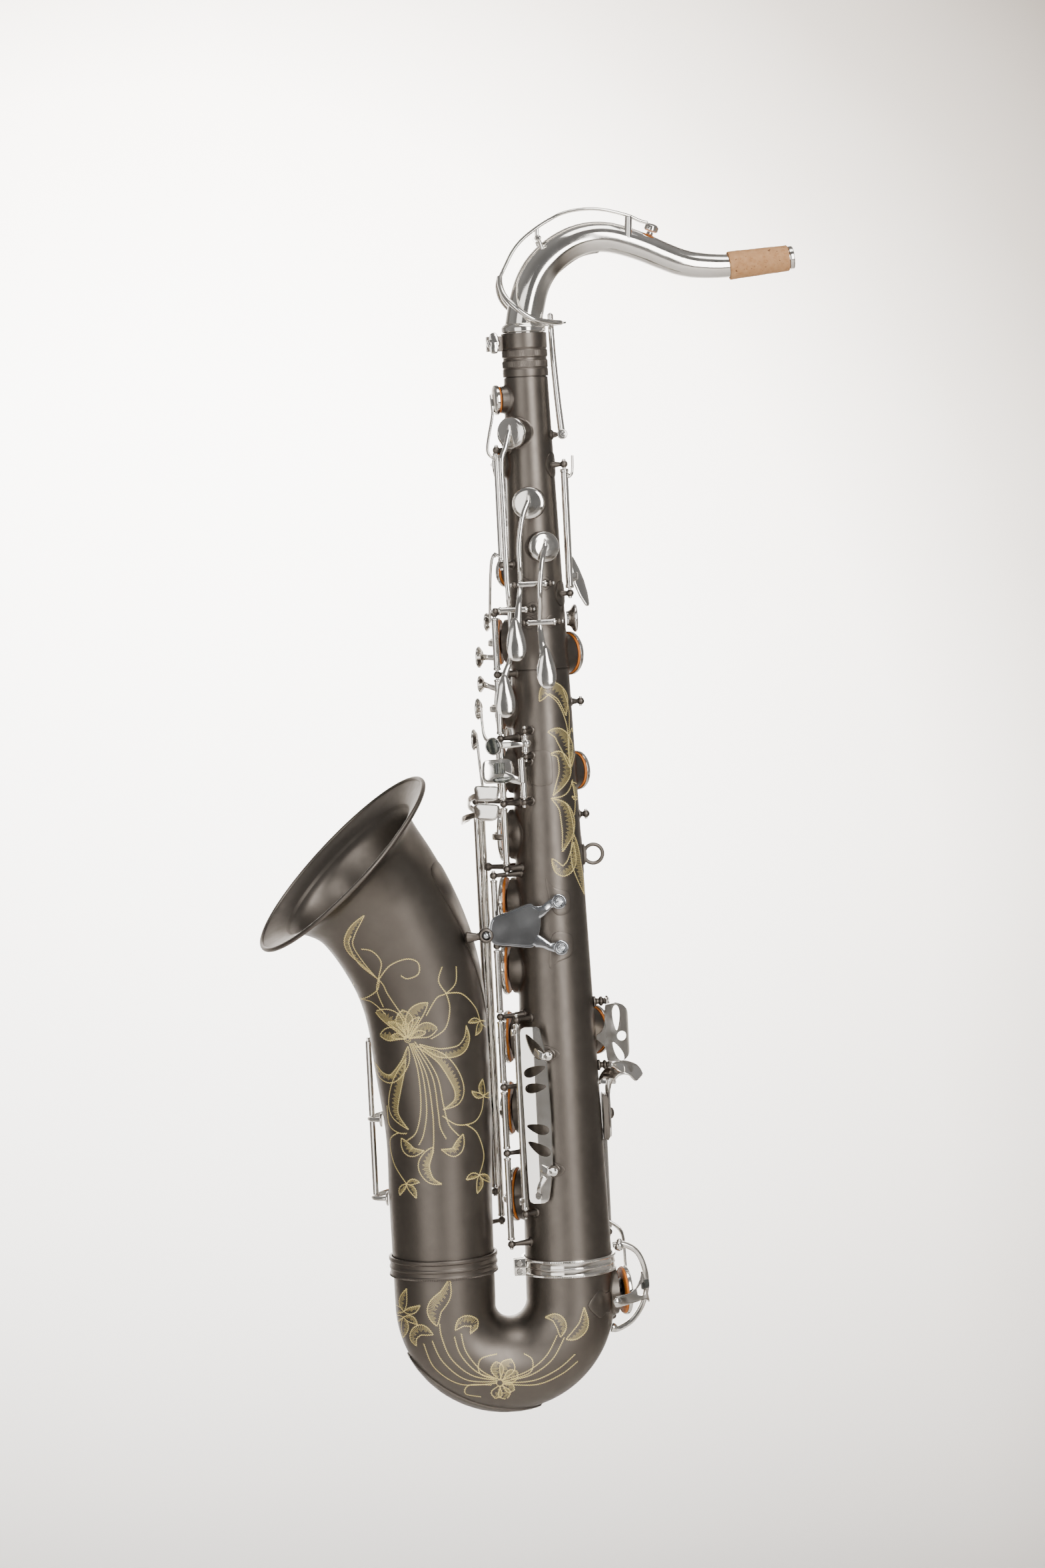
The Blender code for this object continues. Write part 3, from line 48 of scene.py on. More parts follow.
# ---------------------------------------------------------------- the horn's own sizes
AXIS_X = -31.6
TUBE_TOP = 352.0
TUBE_BOTTOM = -290.0
TAPER = 0.0246
RADIUS_AT_322 = 15.85
WALL = 1.2
JOINT_LINE = 133.0

CHIMNEY = 3.5
RIM = 2.0
PAD_OVERLAP = 1.2
PAD_THICK = 2.6
CUP_LIP = 1.5
CUP_BACK = 5.4

HINGE_RADIUS = 2.3
BALL_RADIUS = 2.7
POST_STEP = BALL_RADIUS + GAP

BOW_CENTRE = (-76.3, -315.2)
BOW_RADIUS = 44.7
BELL_X = -120.9
BELL_YAW = math.radians(9)
BELL_BOTTOM = -281.0

BELL_SECTIONS = [   # centre X and Z, radius, and the axis as X and Z
    (-120.9, -281.0, 36.0, 0.0, 1.0), (-120.6, -236.0, 36.6, 0.0, 1.0), (-119.6, -191.0, 37.6, 0.0, 1.0),
    (-122.2, -141.0, 40.6, -0.06, 1.0), (-124.4, -107.0, 42.2, -0.13, 0.99),
    (-128.7, -82.5, 44.2, -0.20, 0.98), (-136.3, -59.0, 46.5, -0.33, 0.94),
    (-146.5, -37.0, 48.6, -0.45, 0.89), (-157.0, -20.0, 50.8, -0.58, 0.81),
    (-169.8, -6.0, 55.7, -0.68, 0.73), (-174.6, -1.2, 61.5, -0.695, 0.719),
    (-177.2, 1.5, 69.0, -0.695, 0.719), (-178.9, 3.3, 78.0, -0.695, 0.719),
    (-179.2, 3.6, 81.3, -0.695, 0.719),
]
NECK_LINE = [   # X, Z, radius
    (-31.6, 353.5, 13.8), (-31.6, 372.0, 13.8), (-31.2, 376.0, 12.0), (-28.6, 388.0, 11.9),
    (-24.2, 402.0, 11.6), (-17.4, 413.5, 11.3), (-7.0, 423.4, 10.9), (5.5, 430.4, 10.5),
    (18.4, 433.6, 10.1), (31.0, 433.2, 9.8), (44.0, 429.6, 9.4), (57.0, 424.5, 9.1),
    (69.4, 418.7, 8.8), (81.8, 413.6, 8.6), (95.0, 410.8, 8.4), (114.6, 409.7, 8.2),
    (138.0, 411.4, 7.9), (162.3, 413.6, 7.6),
]
CORK_SPAN = (116.0, 158.5)
CORK_RADII = (10.0, 9.1)

HOLES = {   # height, angle round the tube, cup radius
    "palm_d": (299.5, -128.0, 11.3), "palm_eb": (250.0, -102.0, 11.3), "palm_f": (219.0, -80.0, 10.9),
    "front_f": (323.0, 186.0, 10.6), "high_e": (278.0, 162.0, 11.0), "side_c": (202.0, 140.0, 11.0),
    "side_bb": (108.0, 85.0, 14.5), "upper_b": (153.0, 160.0, 17.0), "upper_bis": (106.5, 160.0, 16.5),
    "upper_a": (62.0, 160.0, 17.5), "upper_g": (16.5, 160.0, 19.0), "lower_f_sharp": (-31.0, 158.0, 18.0),
    "lower_f": (-79.0, 160.0, 19.0), "lower_e": (-128.0, 160.0, 19.0), "lower_d": (-179.0, 160.0, 19.5),
    "low_c_sharp": (-241.0, 160.0, 19.5), "g_sharp": (142.4, 30.0, 15.6),
    "fork_f_sharp": (59.0, 30.0, 14.0), "low_eb": (-127.0, 30.0, 18.0),
}
LOW_C_HOLE = (-313.5, 2.0, 17.6)
BOW_WALL = 30.2
# As in HOLES, with the distance of the bell's wall from its axis.
BELL_HOLES = {"low_b": (-150.0, 104.0, 22.0, 40.2), "low_bb": (-213.0, 104.0, 22.5, 37.2)}

# Hinge lines, as X and Y.
UPPER_STACK = (AXIS_X - 32.0, -16.5)
LOWER_STACK = (AXIS_X - 41.9, -18.0)
C_SHARP_LINK = (AXIS_X - 31.4, -25.0)
FRONT_LINE = (AXIS_X - 24.5, -12.0)
HIGH_E_LINE = (AXIS_X - 14.0, 27.0)
SIDE_LINE = (AXIS_X - 1.0, 33.5)
BB_LINE = (AXIS_X - 18.0, 31.5)
G_SHARP_LINE = (AXIS_X + 13.2, 30.8)
EB_LINE = (AXIS_X + 17.9, 35.8)
LOW_C_LINE = (AXIS_X + 33.5, 31.0)
LOW_B_LINE = (-79.5, 22.0)
LOW_BB_LINE = (-75.2, 28.5)
OCTAVE_LINE = (AXIS_X + 22.5, -13.0)
TABLE_HINGE = (-50.0, -27.0)
G_LEVER_HINGE = (-47.5, -27.5)
NECK_KEY_HINGE = (-19.0, 434.5)
NECK_PIP_AT = Vector((57.0, 0, 424.5))
NECK_PIP_AXIS = Vector((0.36, 0, 0.93)).normalized()
OCTAVE_ROCKER_HINGE = (-9.5, -13.0, 297.0)
SCREW_REACH = 22.3

# The stage, in millimetres, and the lights, in metres and watts.
FLOOR_DROP = 900.0
SWEEP_START = 900.0
SWEEP_RADIUS = 3300.0
WALL_AT = SWEEP_START + SWEEP_RADIUS
STAGE_REACH = 9000.0
LAMP_COLOUR = (1.0, 0.97, 0.93)
LAMP_AIM = (-0.05, 0.0, 0.0)
LAMPS = [   # name, place, aim, size, power, fan in degrees
    ("key", (0.88, -2.45, 0.75), LAMP_AIM, (0.8, 2.2), 60.0, 180.0),
    ("fill", (-1.6, -2.2, 0.1), LAMP_AIM, (1.6, 2.4), 30.0, 180.0),
    ("top", (0.2, -0.6, 2.6), LAMP_AIM, (1.6, 1.0), 30.0, 180.0),
    ("wall", (-0.1, 1.6, 2.6), (-0.1, 4.2, -0.1), (1.2, 1.2), 330.0, 110.0),
]

# The camera stands where the object's photograph was taken from.
CAMERA_AIM = Vector((-47.9, 0.0, 52.2))
CAMERA_REACH = 3140.0
CAMERA_TURN = math.radians(-6.0)
CAMERA_PITCH = math.radians(3.95)
CAMERA_ROLL = math.radians(-2.8)
CAMERA_LENS = 102.0
CAMERA_BACK = Vector((math.sin(CAMERA_TURN) * math.cos(CAMERA_PITCH),
                      -math.cos(CAMERA_TURN) * math.cos(CAMERA_PITCH), math.sin(CAMERA_PITCH)))
CAMERA_AT = CAMERA_AIM + CAMERA_BACK * CAMERA_REACH


# ---------------------------------------------------------------- curves and sections

def between(a, b, c, d, t):
    """A smooth value from b to c at t, with a and d as their neighbours."""
    return 0.5 * (2 * b + (c - a) * t + (2 * a - 5 * b + 4 * c - d) * t * t
                  + (3 * b - a - 3 * c + d) * t * t * t)


def smoothed(path, values=1.0, steps=4):
    """A smooth curve through the points, with the values carried along it."""
    path = [Vector(p) for p in path]
    values = list(values) if isinstance(values, (list, tuple)) else [values] * len(path)
    if len(path) < 3 or steps < 2:
        return path, values
    points, numbers = [], []
    last = len(path) - 1
    for i in range(last):
        a, b, c, d = (path[max(i - 1, 0)], path[i], path[i + 1], path[min(i + 2, last)])
        for k in range(steps):
            t = k / steps
            points.append(between(a, b, c, d, t))
            numbers.append(values[i] + (values[i + 1] - values[i]) * t)
    return points + [path[-1]], numbers + [values[-1]]


def across(direction):
    """Two directions square to this one and to each other."""
    d = Vector(direction).normalized()
    start = Vector((0, 1, 0)) if abs(d.y) < 0.9 else Vector((1, 0, 0))
    u = (start - d * start.dot(d)).normalized()
    return u, d.cross(u)


def tangents(path):
    last = len(path) - 1
    return [(path[min(i + 1, last)] - path[max(i - 1, 0)]).normalized() for i in range(last + 1)]


def circle(centre, u, v, radius, sides):
    """Points round a centre, in the plane of u and v."""
    turns = [2 * math.pi * k / sides for k in range(sides)]
    return [centre + u * radius * math.cos(t) + v * radius * math.sin(t) for t in turns]


def wire(reach, height, radius, sides):
    """The round section of a ring's wire, as radius and height."""
    turns = [2 * math.pi * k / sides for k in range(sides)]
    return [(reach + radius * math.cos(t), height + radius * math.sin(t)) for t in turns]


def closed_curve(outline, steps):
    """An outline's points, with a smooth curve through them if there is more than one step."""
    loop = [Vector((x, y, 0)) for x, y in outline]
    if steps > 1:
        curve = smoothed(loop[-2:] + loop + loop[:3], 1.0, steps)[0]
        loop = curve[2 * steps:(2 + len(loop)) * steps]
    return loop, sum(loop, Vector()) / len(loop)


def box_section(width, thick, power=5.0, count=16):
    """A rectangle with rounded corners, as offsets across and through the bar."""
    points = []
    for k in range(count):
        t = 2 * math.pi * (k + 0.5) / count
        c, s = math.cos(t), math.sin(t)
        points.append((math.copysign(abs(c) ** (2 / power), c) * width / 2,
                       math.copysign(abs(s) ** (2 / power), s) * thick / 2))
    return points


def softened(profile, size, closed=False):
    """The profile with each corner rounded."""
    count = len(profile)
    out = []
    for i, here in enumerate(profile):
        if not closed and i in (0, count - 1):
            out.append(here)
            continue
        here = Vector(here)
        before = Vector(profile[i - 1]) - here
        after = Vector(profile[(i + 1) % count]) - here
        a = here + before.normalized() * min(size, before.length * 0.45)
        b = here + after.normalized() * min(size, after.length * 0.45)
        for t in (0.0, 0.25, 0.5, 0.75, 1.0):
            out.append(tuple(a * (1 - t) ** 2 + here * 2 * t * (1 - t) + b * t * t))
    return out


def teardrop(length, width):
    """An outline with one broad end below and one narrow end above."""
    turns = [2 * math.pi * k / 24 for k in range(24)]
    return [(-math.sin(t) * width / 2 * (0.78 + 0.3 * math.cos(t)), -math.cos(t) * length / 2)
            for t in turns]


# ---------------------------------------------------------------- meshes

class Shape:
    """Closed parts gathered into one mesh."""

    def __init__(self):
        self.verts = []
        self.faces = []

    def add(self, verts, faces):
        base = len(self.verts)
        self.verts += [Vector(v) for v in verts]
        self.faces += [tuple(base + i for i in face) for face in faces]

    def skin(self, rings, closed=False):
        """Equal rings joined in order, with flat ends, or end to start."""
        count = len(rings[0])
        verts = [p for ring in rings for p in ring]
        faces = []
        for i in range(len(rings) if closed else len(rings) - 1):
            a = i * count
            b = ((i + 1) % len(rings)) * count
            for k in range(count):
                n = (k + 1) % count
                faces.append((a + k, a + n, b + n, b + k))
        if not closed:
            faces.append(tuple(range(count))[::-1])
            faces.append(tuple(range(len(verts) - count, len(verts))))
        self.add(verts, faces)

    def rod(self, path, radius, sides=16, steps=4):
        """A round bar along a curve, with rounded ends."""
        path, radii = smoothed(path, radius, steps)
        along = tangents(path)
        first, last = radii[0] * 0.25, radii[-1] * 0.25
        start, end = path[0] + along[0] * first, path[-1] - along[-1] * last
        path = [path[0], start] + path[1:-1] + [end, path[-1]]
        radii = [radii[0] * 0.75, radii[0]] + radii[1:-1] + [radii[-1], radii[-1] * 0.75]
        along = tangents(path)
        u, v = across(along[0])
        rings = []
        for here, d, r in zip(path, along, radii):
            u = (u - d * u.dot(d)).normalized()
            v = d.cross(u)
            rings.append(circle(here, u, v, r, sides))
        self.skin(rings)

    def bar(self, path, width, thick, face, steps=5, power=4.0, count=16):
        """A flat bar along a curve; face is the way that its broad side looks."""
        path, widths = smoothed(path, width, steps)
        along = tangents(path)
        lead = thick * 0.3
        path = [path[0], path[0] + along[0] * lead] + path[1:-1] + [path[-1] - along[-1] * lead, path[-1]]
        widths = [widths[0], widths[0]] + widths[1:-1] + [widths[-1], widths[-1]]
        rings = []
        ends = (0, len(path) - 1)
        for i, (here, d, w) in enumerate(zip(path, tangents(path), widths)):
            n = (Vector(face) - d * Vector(face).dot(d)).normalized()
            side = d.cross(n)
            pinch = thick * 0.4 if i in ends else 0.0
            section = box_section(max(w - pinch, 0.3), thick - pinch, power, count)
            rings.append([here + side * a + n * b for a, b in section])
        self.skin(rings)

    def lathe(self, profile, centre, axis, sides=48, soft=0.0):
        """A turned part: radius and height along the axis, with its ends on the axis."""
        if soft:
            profile = softened(profile, soft)
        u, v = across(axis)
        d = Vector(axis).normalized()
        centre = Vector(centre)
        verts = [centre + d * profile[0][1]]
        for r, h in profile[1:-1]:
            for k in range(sides):
                t = 2 * math.pi * k / sides
                verts.append(centre + d * h + (u * math.cos(t) + v * math.sin(t)) * max(r, 0.01))
        verts.append(centre + d * profile[-1][1])
        last = len(verts) - 1
        rows = len(profile) - 2
        faces = []
        for k in range(sides):
            n = (k + 1) % sides
            faces.append((0, 1 + n, 1 + k))
            faces.append((last, 1 + (rows - 1) * sides + k, 1 + (rows - 1) * sides + n))
            for i in range(rows - 1):
                a = 1 + i * sides
                faces.append((a + k, a + n, a + sides + n, a + sides + k))
        self.add(verts, faces)

    def hoop(self, profile, centre, axis, sides=96, soft=0.0):
        """A turned ring whose closed profile stays off the axis."""
        if soft:
            profile = softened(profile, soft, True)
        u, v = across(axis)
        d = Vector(axis).normalized()
        rings = []
        for k in range(sides):
            t = 2 * math.pi * k / sides
            out = u * math.cos(t) + v * math.sin(t)
            rings.append([Vector(centre) + d * h + out * r for r, h in profile])
        self.skin(rings, closed=True)

    def ball(self, centre, radius, sides=24):
        rows = sides // 2
        profile = [(radius * math.sin(math.pi * k / rows), -radius * math.cos(math.pi * k / rows))
                   for k in range(rows + 1)]
        self.lathe(profile, centre, UP, sides)

    def plate(self, outline, thick, centre, right, up, bevel=0.4, steps=5, crown=0.0):
        """An outline given thickness and a bevelled edge; a crown domes its upper face."""
        loop, middle = closed_curve(outline, steps)
        right = Vector(right).normalized()
        up = Vector(up).normalized()
        normal = right.cross(up)
        levels = [(bevel, -thick / 2), (bevel * 0.3, -thick / 2 + bevel * 0.3), (0, -thick / 2 + bevel),
                  (0, thick / 2 - bevel), (bevel * 0.3, thick / 2 - bevel * 0.3), (bevel, thick / 2)]
        rings = []
        for inset, height in levels:
            edge = [p + (middle - p).normalized() * inset for p in loop]
            rings.append([Vector(centre) + right * q.x + up * q.y + normal * height for q in edge])
        if crown:
            for share in (0.8, 0.6, 0.4, 0.2, 0.07):
                ring = []
                for p in loop:
                    q = middle + (p - middle) * share
                    ring.append(Vector(centre) + right * q.x + up * q.y
                                + normal * (thick / 2 + crown * (1 - share * share)))
                rings.append(ring)
        self.skin(rings)

    def patch(self, surface, outline, lift=0.7, steps=5):
        """A thin plate that follows a surface; the outline is in the surface's own two numbers."""
        loop, middle = closed_curve(outline, steps)
        rings = []
        for share, height in ((1.0, -0.4), (1.0, lift * 0.6), (0.985, lift * 0.9), (0.95, lift),
                              (0.8, lift), (0.6, lift), (0.4, lift), (0.2, lift), (0.03, lift)):
            rings.append([surface(*(middle + (p - middle) * share).xy, height) for p in loop])
        self.skin(rings)


def rounded_screw(shape, centre, axis, radius, height=1.2):
    """A screw head in two halves, with the slot between them."""
    u, v = across(axis)
    d = Vector(axis).normalized()
    shape.lathe([(0, -0.6), (radius, -0.6), (radius, height * 0.45), (0, height * 0.45)], centre, axis,
                32, 0.15)
    slot = radius * 0.16
    reach = math.asin(slot / radius)
    for sign in (1, -1):
        arc = [reach + (math.pi - 2 * reach) * k / 16 for k in range(17)]
        rings = []
        for r, h in ((radius, height * 0.3), (radius, height * 0.75), (radius * 0.86, height)):
            rings.append([Vector(centre) + d * h + u * r * math.cos(t)
                          + v * sign * max(r * math.sin(t), slot) for t in arc])
        shape.skin(rings)


# ---------------------------------------------------------------- materials

def new_material(name, colour, metallic, roughness):
    made = bpy.data.materials.new(name)
    made.use_nodes = True
    shader = made.node_tree.nodes["Principled BSDF"]
    shader.inputs["Base Color"].default_value = (*colour, 1.0)
    shader.inputs["Metallic"].default_value = metallic
    shader.inputs["Roughness"].default_value = roughness
    return made, made.node_tree, shader


def texture(tree, kind, scale, **settings):
    """A 3-D texture in the piece's own coordinates."""
    coords = tree.nodes.new("ShaderNodeTexCoord")
    made = tree.nodes.new(kind)
    made.inputs["Scale"].default_value = scale
    for key, value in settings.items():
        made.inputs[key].default_value = value
    tree.links.new(coords.outputs["Object"], made.inputs["Vector"])
    return made


def spread(tree, source, low, high, from_low=0.3, from_high=0.7):
    made = tree.nodes.new("ShaderNodeMapRange")
    made.inputs["From Min"].default_value = from_low
    made.inputs["From Max"].default_value = from_high
    made.inputs["To Min"].default_value = low
    made.inputs["To Max"].default_value = high
    tree.links.new(source, made.inputs["Value"])
    return made.outputs["Result"]


def ramp(tree, source, stops):
    made = tree.nodes.new("ShaderNodeValToRGB")
    points = made.color_ramp.elements
    while len(points) < len(stops):
        points.new(0.5)
    for point, (place, colour) in zip(points, stops):
        point.position = place
        point.color = (*colour, 1.0)
    tree.links.new(source, made.inputs["Fac"])
    return made.outputs["Color"]


def bumped(tree, shader, source, strength, distance):
    made = tree.nodes.new("ShaderNodeBump")
    made.inputs["Strength"].default_value = strength
    made.inputs["Distance"].default_value = distance
    tree.links.new(source, made.inputs["Height"])
    tree.links.new(made.outputs["Normal"], shader.inputs["Normal"])


NOISE, CELLS, WAVES = "ShaderNodeTexNoise", "ShaderNodeTexVoronoi", "ShaderNodeTexWave"


def field(tree, kind, scale, **settings):
    """A texture's plain value."""
    return texture(tree, kind, scale, **settings).outputs["Distance" if kind == CELLS else "Fac"]


def patterned(name, colour, metallic, roughness, pattern, stops, gloss=None, relief=None, sockets=()):
    """A look whose colour follows a pattern; gloss and relief follow it too, or one of their own."""
    made, tree, shader = new_material(name, colour, metallic, roughness)
    for socket, value in sockets:
        shader.inputs[socket].default_value = value
    main_field = field(tree, *pattern[:2], **pattern[2])
    tree.links.new(ramp(tree, main_field, stops), shader.inputs["Base Color"])
    if gloss:
        low, high, own = gloss
        source = field(tree, *own[:2], **own[2]) if own else main_field
        tree.links.new(spread(tree, source, low, high), shader.inputs["Roughness"])
    if relief:
        strength, distance, own = relief
        source = field(tree, *own[:2], **own[2]) if own else main_field
        bumped(tree, shader, source, strength, distance)
    return made


def cork():
    """Cork: warm grains, darker pits and lenticels."""
    made, tree, shader = new_material("cork", (0.55, 0.30, 0.14), 0.0, 0.82)
    stops = [(0.28, (0.40, 0.18, 0.07)), (0.42, (0.55, 0.285, 0.125)), (0.75, (0.66, 0.37, 0.18))]
    base = ramp(tree, field(tree, NOISE, 240.0, Detail=6.0, Roughness=0.7), stops)
    pits = field(tree, NOISE, 420.0, Detail=2.0)
    mix = tree.nodes.new("ShaderNodeMix")
    mix.data_type = "RGBA"
    mix.inputs["B"].default_value = (0.10, 0.04, 0.015, 1.0)
    tree.links.new(spread(tree, pits, 0.0, 0.9, 0.66, 0.72), mix.inputs["Factor"])
    tree.links.new(base, mix.inputs["A"])
    tree.links.new(mix.outputs["Result"], shader.inputs["Base Color"])
    bumped(tree, shader, field(tree, CELLS, 620.0), 0.4, 0.0003)
    return made


LOOKS = {
    # Satin plate: a fine blasted grain, faint clouds of colour, slightly uneven gloss.
    "black_nickel": patterned(
        "black_nickel", (0.155, 0.139, 0.124), 1.0, 0.41, (NOISE, 22.0, dict(Detail=5.0, Roughness=0.6)),
        [(0.30, (0.144, 0.128, 0.114)), (0.70, (0.173, 0.155, 0.138))],
        (0.37, 0.45, (NOISE, 160.0, dict(Detail=4.0))),
        (0.10, 0.00004, (NOISE, 3800.0, dict(Detail=2.0)))),
    # Polished plate with faint hand-rubbed haze and a slight ripple.
    "silver": patterned(
        "silver", (0.86, 0.845, 0.815), 1.0, 0.10, (NOISE, 90.0, dict(Detail=6.0, Roughness=0.65)),
        [(0.25, (0.80, 0.775, 0.73)), (0.75, (0.89, 0.875, 0.85))],
        (0.06, 0.15, None), (0.05, 0.0001, (NOISE, 260.0, dict(Detail=2.0)))),
    # The bright floor of a cut line, yellow from every side.
    "gold": patterned(
        "gold_cut", (0.98, 0.78, 0.30), 0.25, 0.42, (NOISE, 1400.0, dict(Detail=2.0)),
        [(0.30, (0.86, 0.66, 0.22)), (0.70, (1.0, 0.88, 0.42))], (0.34, 0.5, None)),
    # Tan pad leather: fine pores and darker handling marks.
    "leather": patterned(
        "leather", (0.58, 0.19, 0.035), 0.0, 0.48, (NOISE, 120.0, dict(Detail=5.0)),
        [(0.28, (0.60, 0.17, 0.022)), (0.72, (0.80, 0.27, 0.045))],
        (0.40, 0.56, None), (0.35, 0.0002, (CELLS, 1300.0, {}))),
    # Dark lacquered metal reflector in the middle of a pad.
    "resonator": patterned(
        "resonator", (0.035, 0.026, 0.022), 0.7, 0.35, (NOISE, 300.0, dict(Detail=3.0)),
        [(0.3, (0.025, 0.018, 0.015)), (0.75, (0.075, 0.055, 0.045))], (0.26, 0.42, None)),
    # Dark mother-of-pearl: soft grey-green bands under a clear coat.
    "pearl": patterned(
        "black_pearl", (0.05, 0.056, 0.05), 0.15, 0.22, (WAVES, 70.0, dict(Distortion=9.0, Detail=3.0)),
        [(0.1, (0.022, 0.026, 0.024)), (0.55, (0.05, 0.058, 0.05)), (0.95, (0.12, 0.125, 0.105))],
        sockets=[("Coat Weight", 0.7), ("Coat Roughness", 0.06)]),
    "cork": cork(),
    # Dark green-black bumper felt with a short nap.
    "felt": patterned(
        "felt", (0.03, 0.036, 0.032), 0.0, 0.95, (NOISE, 2600.0, dict(Detail=3.0)),
        [(0.3, (0.018, 0.022, 0.02)), (0.7, (0.055, 0.06, 0.055))],
        relief=(0.5, 0.0002, None), sockets=[("Sheen Weight", 0.5)]),
    # Polished silver like the keys, painted a little darker and bluer: a painted dark reflection on the
    # brace plate and its arms.
    "brace_painted_reflection": patterned(
        "brace_painted_reflection", (0.56, 0.585, 0.63), 1.0, 0.10, (NOISE, 70.0, dict(Detail=5.0)),
        [(0.25, (0.47, 0.50, 0.55)), (0.75, (0.64, 0.665, 0.70))], (0.06, 0.14, None)),
}


# ---------------------------------------------------------------- pieces

def mesh_from(name, shape):
    mesh = bpy.data.meshes.new(name)
    mesh.from_pydata([v * MM for v in shape.verts], [], shape.faces)
    work = bmesh.new()
    work.from_mesh(mesh)
    bmesh.ops.recalc_face_normals(work, faces=work.faces)
    work.to_mesh(mesh)
    work.free()
    return mesh


def object_from(name, shape):
    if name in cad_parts:
        name += "_fine"
    item = bpy.data.objects.new(name, mesh_from(name, shape))
    bpy.context.scene.collection.objects.link(item)
    return item


def cut(item, shape):
    """Cut the shape out of a piece."""
    tool = object_from("tool", shape)
    step = item.modifiers.new("cut", "BOOLEAN")
    step.object = tool
    step.operation = "DIFFERENCE"
    step.solver = "EXACT"
    graph = bpy.context.evaluated_depsgraph_get()
    result = bpy.data.meshes.new_from_object(item.evaluated_get(graph))
    item.modifiers.clear()
    item.data = result
    bpy.data.objects.remove(tool, do_unlink=True)


def settle(item, look, body, nodes=(), turn=None, angle=32):
    """Shade a piece, and put it on its body in place of its CAD nodes."""
    mesh = item.data
    if turn is not None:
        mesh.transform(turn)
    mesh.shade_smooth()
    mesh.set_sharp_from_angle(angle=math.radians(angle))
    mesh.materials.clear()
    mesh.materials.append(LOOKS[look])
    mesh.name = item.name
    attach(item, body)
    for node in nodes:
        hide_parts(node)
    return item


def piece(name, shape, look, body, nodes=(), turn=None, angle=32):
    return settle(object_from(name, shape), look, body, nodes, turn, angle)


def plated(name, shape, metal, body="horn", nodes=None, turn=None):
    """A piece in one of the horn's two platings; it stands for the node of its own name."""
    return piece(name, shape, metal, body, [name] if nodes is None else nodes, turn)


def turn_about(x, y, degrees):
    """A turn about a hinge line parallel to the tube."""
    place = Matrix.Translation(Vector((x, y, 0)) * MM)
    return place @ Matrix.Rotation(math.radians(degrees), 4, "Z") @ place.inverted()


# ---------------------------------------------------------------- places

def tube_radius(z):
    return RADIUS_AT_322 + (322.0 - z) * TAPER


def around(angle, distance, z):
    t = math.radians(angle)
    return Vector((AXIS_X + distance * math.cos(t), distance * math.sin(t), z))


def outward(angle):
    t = math.radians(angle)
    return Vector((math.cos(t), math.sin(t), 0))


def on_tube(angle, z, lift):
    return around(angle, tube_radius(z) + lift, z)


def around_bell(angle, distance, z):
    t = math.radians(angle)
    return Vector((BELL_X + distance * math.cos(t), distance * math.sin(t), z))


def bell_at(share):
    """Centre, radius and axis of the bell at a place counted in sections."""
    i = min(int(share), len(BELL_SECTIONS) - 2)
    t = share - i
    rows = [BELL_SECTIONS[min(max(i + k, 0), len(BELL_SECTIONS) - 1)] for k in (-1, 0, 1, 2)]
    x, z, radius, nx, nz = [between(*column, t) for column in zip(*rows)]
    reach = x - BELL_X
    centre = Vector((BELL_X + reach * math.cos(BELL_YAW), reach * math.sin(BELL_YAW), z))
    return centre, radius, Vector((nx * math.cos(BELL_YAW), nx * math.sin(BELL_YAW), nz)).normalized()


def on_bell(angle, share, lift):
    """A point on the bell's skin; angle 0 looks to +X and -90 to the player's left."""
    centre, radius, along = bell_at(share)
    u, v = across(along)
    t = math.radians(angle)
    return centre + (u * math.sin(t) - v * math.cos(t)) * (radius + lift)


def bow_point(angle):
    t = math.radians(angle)
    return Vector((BOW_CENTRE[0] + BOW_RADIUS * math.cos(t), 0, BOW_CENTRE[1] - BOW_RADIUS * math.sin(t)))


def bow_radius(angle):
    start = tube_radius(TUBE_BOTTOM)
    return start + (36.0 - start) * (angle + 15.0) / 210.0


def on_bow(angle, turn, lift):
    """A point on the bow: angle along the bend, turn round its section (0 outside, -90 to the left)."""
    centre = bow_point(angle)
    out = (centre - Vector((BOW_CENTRE[0], 0, BOW_CENTRE[1]))).normalized()
    t = math.radians(turn)
    return centre + (out * math.cos(t) + Vector((0, 1, 0)) * math.sin(t)) * (bow_radius(angle) + lift)


# ---------------------------------------------------------------- body tube

TUBE_POSTS = [
    (UPPER_STACK, (174.0, 131.0, 86.0, 40.0, -6.0)),
    (LOWER_STACK, (-10.0, -59.5, -110.0, -160.0, -207.0, -272.0)),
    (C_SHARP_LINK, (-112.0, -250.0)), (FRONT_LINE, (288.0, 207.5)), (HIGH_E_LINE, (292.0, 236.0)),
    (SIDE_LINE, (218.0, 150.0)), (BB_LINE, (128.0, 78.0)), (G_SHARP_LINE, (170.0, 125.0, 90.5, 28.0)),
    (EB_LINE, (-96.0, -196.0)), (LOW_C_LINE, (-202.0, -276.0)), (OCTAVE_LINE, (276.0, 185.5)),
    (LOW_B_LINE, (40.0,)), (LOW_BB_LINE, (40.0,)),
]
# The low E flat guard's sheet: X from the tube's edge, Y, and its lower and upper edges.
EB_SHEET = [
    (0.0, -8.8, -131.4, -128.2), (2.0, -9.0, -133.3, -126.8), (4.0, -9.2, -135.2, -125.0),
    (6.0, -9.3, -138.0, -120.5), (7.4, -9.3, -147.2, -106.5), (14.0, -9.0, -148.0, -105.4),
    (19.4, -7.6, -147.0, -107.5), (22.2, -4.4, -144.5, -111.0), (23.6, 1.0, -140.0, -116.5),
    (24.0, 7.0, -136.0, -120.0),
]
